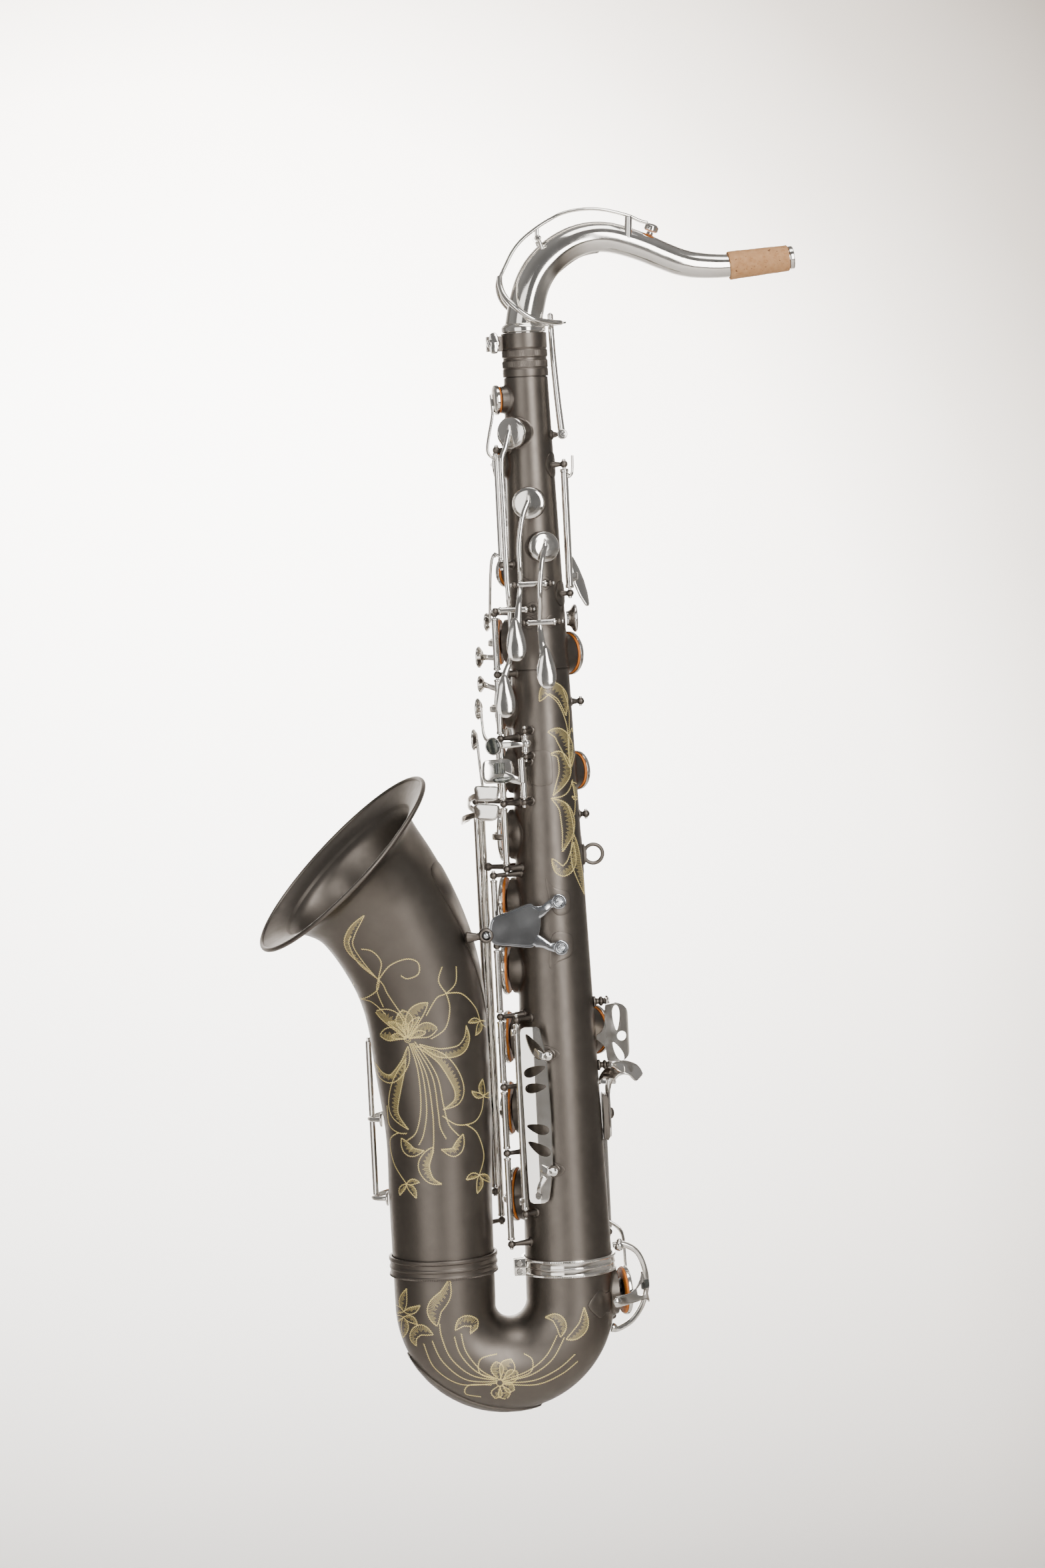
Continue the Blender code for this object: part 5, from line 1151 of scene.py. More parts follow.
def make_side_guard():
    """A sheet folded along its length, with pointed windows, on two screwed spool posts."""
    angle = -125.0
    n = outward(angle)
    side = UP.cross(n)
    lift = tube_radius(-242.0) + 7.5
    rows = [(-117.0, 5.0, 3.0), (-118.4, 7.6, 4.6), (-121.0, 8.2, 5.2), (-140.0, 8.4, 8.4),
            (-180.0, 8.0, 9.4), (-220.0, 7.6, 9.0), (-238.5, 7.2, 6.0), (-240.8, 6.6, 5.0),
            (-242.0, 4.4, 3.2)]
    guard = Shape()
    rings = []
    for z, left, right in rows:
        middle = around(angle, lift, z)
        front, back = left * 0.27, right * -0.56
        section = [(left, front + 0.3), (left - 0.3, front + 0.9), (0.8, 0.95), (-0.8, 0.6),
                   (0.4 - right, back + 0.9), (-right, back + 0.3), (0.2 - right, back - 0.2),
                   (-0.8, -0.6), (0.8, -0.4), (left - 0.2, front - 0.4)]
        rings.append([middle + side * -a + n * b for a, b in section])
    guard.skin(rings)
    item = object_from("side_guard", guard)
    cuts = Shape()
    for x, z, long, lean in (
            (-1.0, -131.0, 21.0, 0.5), (-0.4, -148.0, 15.0, -1.2), (-0.6, -160.0, 14.0, -1.45),
            (-0.8, -189.0, 15.0, 1.25), (-1.0, -203.0, 17.0, 0.95)):
        tilt = (UP * math.cos(lean) - side * math.sin(lean)).normalized()
        cuts.plate(teardrop(long, 8.6), 14.0, around(angle, lift, z) - side * x, tilt.cross(n), tilt,
                   0.05, 1)
    cut(item, cuts)
    settle(item, "silver", "horn", ["side_guard"], angle=18)
    posts, ears = Shape(), Shape()
    for z in (-137.5, -219.5):
        out = outward(angle + 17)
        foot = around(angle + 17, tube_radius(z) + GAP + 0.1, z)
        reach = lift - tube_radius(z) - 1.0
        posts.lathe([(0, -0.5), (3.8, -0.5), (3.8, 0.7), (2.5, 1.5), (2.2, reach * 0.45),
                     (3.4, reach * 0.6), (4.0, reach * 0.8), (4.0, reach), (3.4, reach + 0.6),
                     (0, reach + 0.6)], foot, out, 36, 0.3)
        rounded_screw(ears, foot + out * (reach + 0.9), out, 3.0, 0.9)
        inward = (around(angle, lift, z) - foot).normalized()
        ears.bar([foot + out * (reach - 0.4), foot + out * (reach - 0.2) + inward * 4.0,
                  around(angle, lift - 1.2, z + 3.0)],
                 [5.0, 4.6, 6.0], 1.4, outward(angle + 8), 5, 4.0, 20)
    ears.bar([around(angle, lift + 0.8, -236.0), around(angle + 2, lift + 2.6, -230.0),
              around(angle + 8, lift + 1.4, -223.0)], [4.0, 3.2, 4.6], 1.4, n, 5, 4.0, 20)
    rounded_screw(ears, around(angle, lift + 1.4, -236.5), n, 2.6, 1.0)
    plated("side_guard_ears", ears, "silver", nodes=["side_guard"])
    plated("side_guard_posts", posts, "black_nickel", nodes=["side_guard"])


def make_brace():
    """The blank plate between bell and body, with its ball foot and two screwed arms."""
    y = -31.0
    outline = [(-78.5, -41.0), (-75.5, -37.8), (-66.0, -34.6), (-51.0, -29.7), (-47.6, -31.2),
               (-42.6, -34.2), (-42.8, -38.0), (-43.4, -46.0), (-46.0, -55.5), (-49.0, -60.2),
               (-54.0, -60.6), (-66.0, -58.8), (-76.5, -57.0), (-79.0, -53.0), (-79.8, -47.0)]
    plate = Shape()
    plate.plate(outline, 2.2, (0, y, 0), (1, 0, 0), UP, 0.5, 3)
    plate.plate([(x * 0.93 - 4.3, z * 0.90 - 4.6) for x, z in outline], 0.5, (0, y - 1.25, 0), (1, 0, 0),
                UP, 0.25, 3)
    # The plate and its arms take silver painted darker and bluer, as painted reflection.
    piece("bell_brace", plate, "brace_painted_reflection", "horn", ["bell_brace"], angle=15)
    brace = Shape()
    arms = [
        [(-50.0, y - 0.3, -36.0), (-44.5, y - 0.3, -36.2), (-40.0, y - 0.3, -34.2),
         (-36.0, y, -31.2), (-31.0, y, -29.6)],
        [(-51.0, y - 0.3, -55.5), (-46.0, y - 0.3, -56.6), (-41.0, y - 0.3, -58.8),
         (-37.0, y, -61.2), (-31.0, y, -62.0)],
    ]
    for path in arms:
        brace.bar(path, [4.0, 9.0, 6.2, 5.6, 8.4], 2.4, (0, 1, 0), 6, 4.0, 24)
    reach = tube_radius(-45.0)
    for z in (-29.5, -62.0):
        brace.lathe([(0, reach + GAP + 0.4), (4.6, reach + GAP + 0.4), (4.6, reach + 4.0),
                     (3.6, reach + 5.4), (3.6, reach + 6.4), (0, reach + 6.4)], (-29.8, 0, z), (0, -1, 0),
                    40, 0.3)
        brace.hoop([(3.0, reach + 5.4), (5.4, reach + 5.4), (5.4, reach + 8.6), (4.8, reach + 9.2),
                    (3.2, reach + 9.2)], (-29.8, 0, z), (0, -1, 0), 48, 0.3)
        rounded_screw(brace, (-29.8, -(reach + 7.6), z), (0.05, -1, 0), 2.9, 1.4)
    brace.ball((-82.0, y + 0.6, -50.5), 3.2, 32)
    piece("brace_arms_and_screws", brace, "brace_painted_reflection", "horn", ["bell_brace"])
    foot = Shape()
    foot.hoop([(2.9, -2.6), (4.8, -2.8), (5.7, 0.0), (4.9, 2.8), (3.2, 3.2)], (-82.0, y + 0.6, -50.5),
              (0, -1, 0), 48, 0.8)
    foot.rod([(-85.5, y + 1.5, -50.8), (-88.0, -29.2, -51.2), (-91.0, -28.3, -51.4),
              (-95.5, -27.0, -51.5)], [2.9, 2.6, 3.2, 4.6], 32, 5)
    plated("brace_ball_foot", foot, "black_nickel", nodes=["bell_brace"])


# ---------------------------------------------------------------- neck

def make_neck():
    """The neck tube with its tenon, octave pip, braces and tip ring."""
    points = [Vector((x, 0, z)) for x, z, r in NECK_LINE]
    radii = [r + 0.9 * min(1.0, max(0.0, (108.0 - x) / 20)) for x, z, r in NECK_LINE]
    path, outer = smoothed(points[2:], radii[2:], 8)
    path = [points[0], Vector((AXIS_X, 0, 371.5))] + path
    outer = [13.8, 13.8] + outer
    rings_out, rings_in = [], []
    sides = 96
    along = tangents(path)
    along[-1] = (path[-1] - path[-2]).normalized()
    u = Vector((0, 1, 0))
    for here, d, r in zip(path, along, outer):
        v = d.cross(u)
        rings_out.append(circle(here, u, v, r, sides))
        rings_in.append(circle(here, u, v, r - 1.4, sides))
    neck = Shape()
    neck.skin(rings_out + rings_in[::-1], closed=True)
    neck.hoop([(12.0, 369.4), (15.2, 369.4), (15.6, 370.4), (15.6, 373.0), (14.6, 374.4), (13.2, 375.6),
               (11.6, 376.4)], (AXIS_X, 0, 0), UP, 112, 0.5)
    neck.hoop([(1.0, 6.5), (3.6, 6.5), (3.4, 9.6), (2.4, 10.2), (2.3, 12.0), (1.0, 12.0)], NECK_PIP_AT,
              NECK_PIP_AXIS, 40, 0.3)
    neck.rod([(44.5, -7.0, 431.0), (44.9, -7.3, 438.0), (45.5, -7.5, 447.2)], [3.1, 2.7, 2.5], 24, 3)
    x, z = NECK_KEY_HINGE
    for side in (-1, 1):
        ball_post(neck, (x, side * 8.5, z), (-15.0, side * 6.0, 423.5), 0.8, None, 3.0)
        rounded_screw(neck, (x, side * 10.6, z), (0, side, 0), 1.3, 0.6)
    neck.bar([(-13.6, 0, 403.0), (-8.5, 0, 408.0), (2.0, 0, 416.2), (12.0, 0, 421.6), (24.0, 0, 423.6)],
             [6.0, 4.5, 4.5, 4.5, 6.5], 2.4, (0.6, 0, -0.8))
    neck.bar([(50.5, 0, 420.4), (62.0, 0, 414.4), (76.0, 0, 407.4), (90.0, 0, 404.0)],
             [3.0, 4.6, 4.6, 2.0], 2.0, (0.3, 0, -1))
    tip_axis = (points[-1] - points[-2]).normalized()
    neck.hoop([(6.2, -3.6), (7.6, -3.6), (8.2, -3.0), (8.2, -0.5), (7.7, 0.0), (6.2, 0.0)], points[-1],
              tip_axis, 96, 0.3)
    plated("neck_tube", neck, "silver", "neck")


def make_cork():
    """The cork sleeve, cut in steps, with pits sunk into its face."""
    a, b = Vector((CORK_SPAN[0], 0, 409.8)), Vector((CORK_SPAN[1], 0, 413.3))
    axis = (b - a).normalized()
    length = (b - a).length
    u, v = across(axis)
    rng = random.Random(7)
    pits = [(rng.uniform(1, length - 1), rng.uniform(0, 2 * math.pi), rng.uniform(0.25, 0.75),
             rng.uniform(0.25, 0.6)) for _ in range(110)]
    rows, sides = 150, 220
    rings = []
    for i in range(rows + 1):
        t = i / rows
        h = length * t
        edge = 0.35 * (max(0.0, 1 - h / 0.6) ** 2 + max(0.0, 1 - (length - h) / 0.6) ** 2)
        ring = []
        for k in range(sides):
            turn = 2 * math.pi * k / sides
            radius = CORK_RADII[0] + (CORK_RADII[1] - CORK_RADII[0]) * t - edge
            radius += 0.06 * math.sin(turn * 3 + h * 0.35) + 0.04 * math.sin(turn * 7 - h * 1.3)
            for place, about, size, depth in pits:
                if abs(place - h) > 1.6:
                    continue
                gap = math.remainder(turn - about, 2 * math.pi) * radius
                near = ((place - h) / (size * 1.4)) ** 2 + (gap / size) ** 2
                if near < 1:
                    radius -= depth * (1 - near)
            ring.append(a + axis * h + (u * math.cos(turn) + v * math.sin(turn)) * radius)
        rings.append(ring)
    for h, radius in ((length, 8.3), (length * 0.5, 8.5), (0.0, 8.75)):
        rings.append([a + axis * h + (u * math.cos(2 * math.pi * k / sides)
                                      + v * math.sin(2 * math.pi * k / sides)) * radius
                      for k in range(sides)])
    sleeve = Shape()
    sleeve.skin(rings, closed=True)
    piece("neck_cork", sleeve, "cork", "neck", ["neck_cork"])


def make_neck_key():
    """The octave key on the neck: a long bar, a small cup and the loop round the tenon."""
    bar_line = [(60.0, 0, 442.2), (54.2, 0, 443.9), (45.5, 0, 448.0), (28.8, 0, 452.6), (14.3, 0, 453.6),
                (0.5, 0, 451.6), (-9.0, 0, 447.6), (-19.0, 0, 442.0), (-29.5, 0, 434.3),
                (-36.8, 0, 426.0), (-43.0, 0, 415.0), (-46.8, 0, 408.0)]
    key = Shape()
    key.bar(bar_line, [4.0, 4.0, 4.5, 6.0, 6.5, 6.0, 5.5, 6.0, 6.0, 6.0, 6.5, 7.0], 2.6, (0.01, 0, 1), 6,
            2.6, 20)
    x, z = NECK_KEY_HINGE
    key.rod([(x, -6.1, z), (x, 6.1, z)], HINGE_RADIUS, 32, 1)
    key.bar([(x, 0, z), (x, 0, 442.0)], 5.0, 3.0, (1, 0, 0), 1)
    axis = NECK_PIP_AXIS
    cup = NECK_PIP_AT + axis * 12.0
    key.lathe([(0, 2.0), (4.6, 2.0), (4.6, 0.9), (5.0, 0.9), (5.0, 4.2), (3.2, 5.6), (0, 6.2)], cup, axis,
              48, 0.25)
    for side in (-1, 1):
        key.rod([(-46.6, side * 1.0, 409.0), (-47.2, side * 8.0, 402.5), (-45.0, side * 15.0, 394.5),
                 (-39.0, side * 19.5, 387.0), (-31.0, side * 20.5, 380.5), (-23.0, side * 19.0, 377.0),
                 (-12.4, side * 13.8, 375.3), (-6.4, side * 6.5, 375.0), (-5.2, side * -0.4, 375.0)],
                1.85, 20, 6)
    key.bar([(-6.4, 0, 375.0), (-1.5, 0, 375.2)], 6.0, 2.0, UP, 1)
    plated("neck_octave_key", key, "silver", "neck_octave")
    pad = Shape()
    pad.lathe([(0, 0.5), (4.0, 0.5), (4.4, 1.0), (4.4, 2.2), (0, 2.2)], cup, axis, 40, 0.3)
    piece("neck_octave_pad", pad, "leather", "neck_octave")


# ---------------------------------------------------------------- keys

def seat(name):
    """Centre of a tone hole's rim, the way it faces, and the cup's radius."""
    if name in BELL_HOLES:
        z, angle, radius, wall = BELL_HOLES[name]
        return around_bell(angle, wall + CHIMNEY, z), outward(angle), radius
    if name == "low_c":
        z, angle, radius = LOW_C_HOLE
        return around(angle, BOW_WALL + CHIMNEY, z), outward(angle), radius
    z, angle, radius = HOLES[name]
    return around(angle, tube_radius(z) + CHIMNEY, z), outward(angle), radius


def add_cup(key, centre, n, radius):
    """A spun cup: open below for its pad, a rounded shoulder and a slightly domed back."""
    key.lathe([(0, PAD_THICK + 0.6), (radius - 0.8, PAD_THICK + 0.6), (radius - 0.8, CUP_LIP),
               (radius - 0.1, CUP_LIP), (radius, CUP_LIP + 0.5), (radius, CUP_BACK - 1.9),
               (radius - 0.5, CUP_BACK - 1.0), (radius - 2.2, CUP_BACK - 0.35), (radius * 0.62, CUP_BACK),
               (radius * 0.3, CUP_BACK + 0.35), (0, CUP_BACK + 0.5)],
              centre, n, 72, 0.3)


def add_pad(name, body, centre, n, radius, nodes, turn):
    """The leather pad with the print of its tone hole, and its dark domed reflector."""
    r = radius - 0.8 - GAP
    rim = radius - PAD_OVERLAP - RIM * 0.5
    pad = Shape()
    pad.lathe([(0, GAP + 0.15), (rim - 2.6, GAP + 0.1), (rim - 1.1, GAP + 0.02), (rim - 0.5, GAP + 0.35),
               (rim + 0.5, GAP + 0.35), (rim + 1.0, GAP + 0.04), (r - 0.7, GAP + 0.05),
               (r - 0.15, GAP + 0.45), (r, GAP + 1.0), (r, PAD_THICK + GAP), (0, PAD_THICK + GAP)],
              centre, n, 72, 0.25)
    piece(name + "_pad", pad, "leather", body, nodes, turn)
    disc = Shape()
    size = max(radius * 0.5, 3.0)
    disc.lathe([(0, -0.75), (size * 0.16, -0.72), (size * 0.2, -0.35), (size * 0.55, -0.42),
                (size * 0.9, -0.1), (size, 0.12), (size, 0.6), (0, 0.6)], centre, n, 56, 0.12)
    piece(name + "_reflector", disc, "resonator", body, (), turn)


def add_arm(key, hinge, centre, n, radius, z_hinge, via=None):
    """An arm from the hinge tube, over the cup's shoulder, to a point past its middle."""
    start = Vector((hinge[0], hinge[1], z_hinge))
    flat = start - centre
    flat = (flat - n * flat.dot(n)).normalized()
    edge = centre + n * (CUP_BACK + 1.3) + flat * (radius + 1.0)
    inner = centre + n * (CUP_BACK + 0.75) + flat * radius * 0.5
    middle = centre + n * (CUP_BACK + 0.7)
    path = [start, edge, inner, middle, middle - flat * radius * 0.42]
    widths = [4.6, 4.6, 6.2, 4.4, 0.9]
    if via:
        path.insert(1, Vector(via))
        widths.insert(1, 4.5)
    key.bar(path, widths, 2.1, n, 6, 2.6, 20)


def add_hinge(key, line, low, high):
    """A hinge tube with turned collars at its ends."""
    x, y = line
    key.rod([(x, y, low), (x, y, high)], HINGE_RADIUS, 32, 1)
    for z, sign in ((low, 1), (high, -1)):
        key.lathe([(0, 0.15), (2.45, 0.15), (2.62, 0.5), (2.62, 1.6), (2.4, 2.0), (0, 2.0)], (x, y, z),
                  (0, 0, sign), 32)


def add_pearl(key, pearls, place, out, size):
    key.lathe([(0, -1.8), (size * 0.6, -1.8), (size * 0.72, -1.2), (size, 0.2), (size, 1.0),
               (size - 0.35, 1.5), (size - 0.9, 1.35), (size - 1.0, 0.6), (0, 0.6)], place, out, 48, 0.2)
    pearls.lathe([(0, 0.3), (size - 1.1, 0.3), (size - 1.1, 1.3), (size - 1.9, 1.5), (size * 0.5, 1.1),
                  (0, 0.95)], place, out, 48, 0.25)


# line: the hinge's X and Y; span: its lowest and highest point; arm: where the cup's arm leaves it;
# open: degrees off the tone hole; via: a bend in the arm; seat: a pearl on the cup; pearl: its place,
# its arm's height, its size and its arm's bend; paddle: its place, its arm's height and its length.
KEYS = {
    "front_f": dict(line=FRONT_LINE, span=(210.5, 285.0), arm=281.0, open=0, via=(-62.5, -13.0, 288.0),
                    pearl=((-66.5, 4.0, 167.5), 213.0, 6.6, (-63.0, -9.0, 211.0))),
    "high_e": dict(line=HIGH_E_LINE, span=(239.0, 289.0), arm=278.0, open=0,
                   paddle=((-40.0, 39.0, 246.0), 244.0, 22)),
    "side_c": dict(line=SIDE_LINE, span=(153.0, 215.0), arm=202.0, open=0,
                   paddle=((-24.0, 42.0, 164.0), 158.0, 22)),
    "side_bb": dict(line=BB_LINE, span=(81.0, 125.0), arm=108.0, open=0,
                    paddle=((-52.0, 41.5, 92.0), 86.0, 22)),
    "upper_b": dict(line=UPPER_STACK, span=(134.0, 171.0), arm=153.0, open=6,
                    pearl=((-70.5, 8.0, 143.0), 143.0, 7.6)),
    "upper_bis": dict(line=UPPER_STACK, span=(89.0, 128.0), arm=106.5, open=6,
                      pearl=((-70.5, 8.0, 124.0), 121.0, 6.0)),
    "upper_a": dict(line=UPPER_STACK, span=(43.0, 83.0), arm=62.0, open=6,
                    pearl=((-73.0, 8.0, 106.5), 80.5, 7.6, (-73.5, -11.0, 87.0))),
    "upper_g": dict(line=UPPER_STACK, span=(-3.0, 37.0), arm=16.5, open=6,
                    pearl=((-77.5, 6.0, 85.0), 34.0, 7.6, (-74.5, -8.0, 42.0))),
    "lower_f_sharp": dict(line=LOWER_STACK, span=(-56.5, -13.0), arm=-31.0, open=5.5),
    "lower_f": dict(line=LOWER_STACK, span=(-107.0, -62.5), arm=-79.0, open=5.5, seat=True),
    "lower_e": dict(line=LOWER_STACK, span=(-157.0, -113.0), arm=-128.0, open=5.5, seat=True),
    "lower_d": dict(line=LOWER_STACK, span=(-204.0, -163.0), arm=-179.0, open=5.5, seat=True),
    "low_c_sharp": dict(line=LOWER_STACK, span=(-269.0, -210.0), arm=-241.0, open=0),
    "g_sharp": dict(line=G_SHARP_LINE, span=(128.0, 167.0), arm=143.0, open=0),
    "fork_f_sharp": dict(line=G_SHARP_LINE, span=(31.0, 87.5), arm=59.0, open=0,
                         paddle=((-21.6, 42.0, 38.0), 36.0, 20)),
    "low_eb": dict(line=EB_LINE, span=(-193.0, -99.0), arm=-127.0, open=0,
                   paddle=((-14.0, 44.5, -184.0), -186.0, 24)),
    "low_c": dict(line=LOW_C_LINE, span=(-273.0, -205.0), arm=-268.0, open=6, via=(10.5, 27.0, -277.0),
                  paddle=((-14.0, 42.0, -214.0), -210.0, 24)),
    "low_b": dict(line=LOW_B_LINE, span=(-237.0, 37.0), arm=-150.0, open=5),
    "low_bb": dict(line=LOW_BB_LINE, span=(-259.0, 37.0), arm=-213.0, open=5),
}


def opening_sign(hinge, centre, n):
    """The way to turn about the hinge that lifts the cup off its hole."""
    reach = Vector((centre.x - hinge[0], centre.y - hinge[1], 0))
    return 1.0 if UP.cross(reach).dot(n) > 0 else -1.0


def low_b_touch(key):
    x, y = LOW_B_LINE
    key.bar([(x, y, 33.0), (-84.5, 8.0, 38.0), (-84.0, -9.0, 44.0), (-77.0, -21.0, 48.0)], 4.4, 2.2,
            (-1, -0.3, 0), 6, 3.0)
    key.plate([(-8, -5), (0, -5.6), (7, -5), (9, 0), (8.6, 4), (0, 5), (-8, 5), (-8.8, 0)], 2.4,
              (-72.0, -25.0, 49.0), (1, -0.35, 0), UP, 0.6, 3, 0.5)


def low_bb_touch(key):
    x, y = LOW_BB_LINE
    key.bar([(x, y, 32.0), (-84.5, 29.0, 28.0), (-89.5, 8.0, 27.0), (-87.5, -11.0, 31.0),
             (-77.0, -22.5, 34.5)], 4.4, 2.2, (-1, -0.1, 0), 6, 3.0)
    key.plate([(-8, -4), (-2, -6), (6, -5.6), (9, 0), (8.6, 4.6), (0, 6), (-8, 5.6), (-9, 1)], 2.4,
              (-72.0, -25.5, 35.5), (1, -0.35, 0), UP, 0.6, 3, 0.5)


def make_rod_key(name, data):
    """A key on an upright hinge tube, turned about it to where the photograph shows it."""
    line = data["line"]
    centre, n, radius = seat(name)
    low, high = data["span"]
    key, pearls = Shape(), Shape()
    add_hinge(key, line, low, high)
    add_cup(key, centre, n, radius)
    add_arm(key, line, centre, n, radius, data["arm"], data.get("via"))
    if data.get("seat"):
        place = centre + n * (CUP_BACK + 2.0)
        add_pearl(key, pearls, place, n, 7.6)
        key.lathe([(0, -1.6), (4.2, -1.6), (4.2, 0), (0, 0)], place, n, 32)
    if "pearl" in data:
        place, z_arm, size = data["pearl"][:3]
        place = Vector(place)
        out = Vector((place.x - AXIS_X, place.y, 0)).normalized()
        start = Vector((line[0], line[1], z_arm))
        under = place - out * 1.4
        bend = Vector(data["pearl"][3]) if len(data["pearl"]) > 3 else start.lerp(under, 0.5) + out * 0.8
        add_pearl(key, pearls, place, Matrix.Rotation(math.radians(-14), 3, "Z") @ out, size)
        key.bar([start, bend, under], [4.6, 4.0, 5.0], 2.1, out, 8, 2.8, 20)
    if "paddle" in data:
        place, z_arm, size = data["paddle"]
        place = Vector(place)
        out = Vector((place.x - AXIS_X, place.y, 0)).normalized()
        key.plate(teardrop(size, size * 0.45), 2.2, place, UP.cross(out), UP, 0.7, 2, 0.7)
        key.bar([(line[0], line[1], z_arm), place], 4.0, 2.0, out, 1, 3.0)
    if name == "low_b":
        low_b_touch(key)
    if name == "low_bb":
        low_bb_touch(key)
    turn = turn_about(*line, data["open"] * opening_sign(line, centre, n))
    plated(name + "_key", key, "silver", name, turn=turn)
    if pearls.verts:
        piece(name + "_pearl", pearls, "pearl", name, (), turn)
    nodes = [name + "_pad"] if name + "_pad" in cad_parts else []
    add_pad(name, name, centre, n, radius, nodes, turn)


PALM_ARMS = {   # each arm's line, from under the cup to the touch
    "palm_d": [(-51.0, -23.8, 289.0), (-54.4, -26.0, 279.0), (-54.5, -26.8, 250.0), (-54.6, -27.5, 222.0),
               (-54.8, -29.0, 199.0), (-54.4, -29.0, 186.0), (-54.0, -27.5, 176.0), (-54.0, -30.5, 160.0),
               (-55.5, -32.0, 143.0), (-60.5, -35.0, 130.0), (-61.5, -37.5, 120.0)],
    "palm_eb": [(-42.0, -29.0, 240.0), (-45.2, -29.8, 222.0), (-45.4, -29.4, 205.0),
                (-45.4, -27.5, 193.5), (-47.2, -33.5, 184.0), (-49.0, -37.0, 174.0),
                (-51.5, -40.0, 160.0)],
    "palm_f": [(-30.0, -32.5, 209.0), (-32.6, -35.0, 193.0), (-33.0, -33.5, 180.0), (-33.2, -27.0, 166.5),
               (-32.8, -32.0, 152.0), (-31.5, -35.5, 140.0)],
}
PALM_TOUCH = {"palm_d": (-61.0, -38.5, 117.0), "palm_eb": (-51.8, -41.0, 156.0),
              "palm_f": (-31.2, -37.0, 135.5)}


def make_palm_key(name, data):
    """A palm key on a level hinge: cup, long arm and domed touch."""
    centre, n, radius = seat(name)
    step = POST_STEP * 0.85
    y, z = data["y"], data["z"]
    key = Shape()
    left, right = data["ends"][0] + step, data["ends"][1] - step
    key.rod([(left, y, z), (right, y, z)], HINGE_RADIUS, 32, 1)
    for x, sign in ((left, 1), (right, -1)):
        key.lathe([(0, 0.1), (2.55, 0.1), (2.7, 0.4), (2.7, 1.4), (2.4, 1.8), (0, 1.8)], (x, y, z),
                  (sign, 0, 0), 32)
    add_cup(key, centre, n, radius)
    top = centre + n * (CUP_BACK + 0.6)
    path = [top + UP * radius * 0.55, top + UP * radius * 0.1] + PALM_ARMS[name]
    widths = [0.8, 3.6] + [3.6] * (len(path) - 4) + [5.0, 8.0]
    key.bar(path, widths, 2.5, (0, -1, 0.01), 6, 2.4, 20)
    key.plate(teardrop(31.0, 16.5), 2.4, Vector(PALM_TOUCH[name]), (1, 0, 0), (0, 0.12, 1), 0.8, 2, 1.5)
    plated(name + "_key", key, "silver", name)
    add_pad(name, name, centre, n, radius, [], None)


# ---------------------------------------------------------------- octave, table and links

def make_octave():
    """The thumb's octave lever, and the rocker that lifts the neck's key."""
    x, y = OCTAVE_LINE
    lever = Shape()
    lever.rod([(x, y, 189.0), (x, y, 272.8)], 2.6, 32, 1)
    for z, sign in ((189.0, 1), (272.8, -1)):
        lever.lathe([(0, 0.1), (2.8, 0.1), (3.0, 0.5), (3.0, 2.2), (2.6, 2.6), (0, 2.6)], (x, y, z),
                    (0, 0, sign), 32)
    lever.bar([(-6.2, -2.0, 211.0), (-3.6, -2.0, 202.0), (-1.2, -2.0, 193.0), (1.6, -1.8, 184.0),
               (4.4, -1.5, 175.5)], [2.6, 6.6, 8.8, 7.4, 2.4], 2.2, (0.5, -1, 0.01), 7, 3.0, 24)
    lever.bar([(x, y, 196.0), (-4.0, -8.0, 197.0), (-2.0, -1.5, 197.0)], 6.0, 2.2, (1, -0.4, 0), 6, 3.0)
    lever.bar([(x, y, 268.0), (x + 5.0, y - 1.0, 269.0), (x + 6.0, y - 1.0, 282.0)], 4.0, 2.0,
              (1, 0, 0.01), 5, 3.0)
    plated("octave_lever", lever, "silver", "octave_lever")
    x, y, z = OCTAVE_ROCKER_HINGE
    rocker = Shape()
    rocker.lathe([(0, -4.0), (3.2, -4.0), (3.6, -3.4), (3.6, 3.4), (3.2, 4.0), (0, 4.0)], (x, y, z),
                 (0, 1, 0), 40, 0.3)
    rocker.rod([(x, y, z), (-11.2, -12.0, 320.0), (-12.4, -10.0, 345.0), (-12.6, -6.0, 362.0),
                (-12.6, -3.0, 381.0)], [2.5, 2.3, 2.2, 2.1, 2.0], 24, 6)
    rocker.ball((-12.6, -3.1, 380.2), 2.1, 20)
    plated("octave_rocker", rocker, "silver", "octave_rocker")


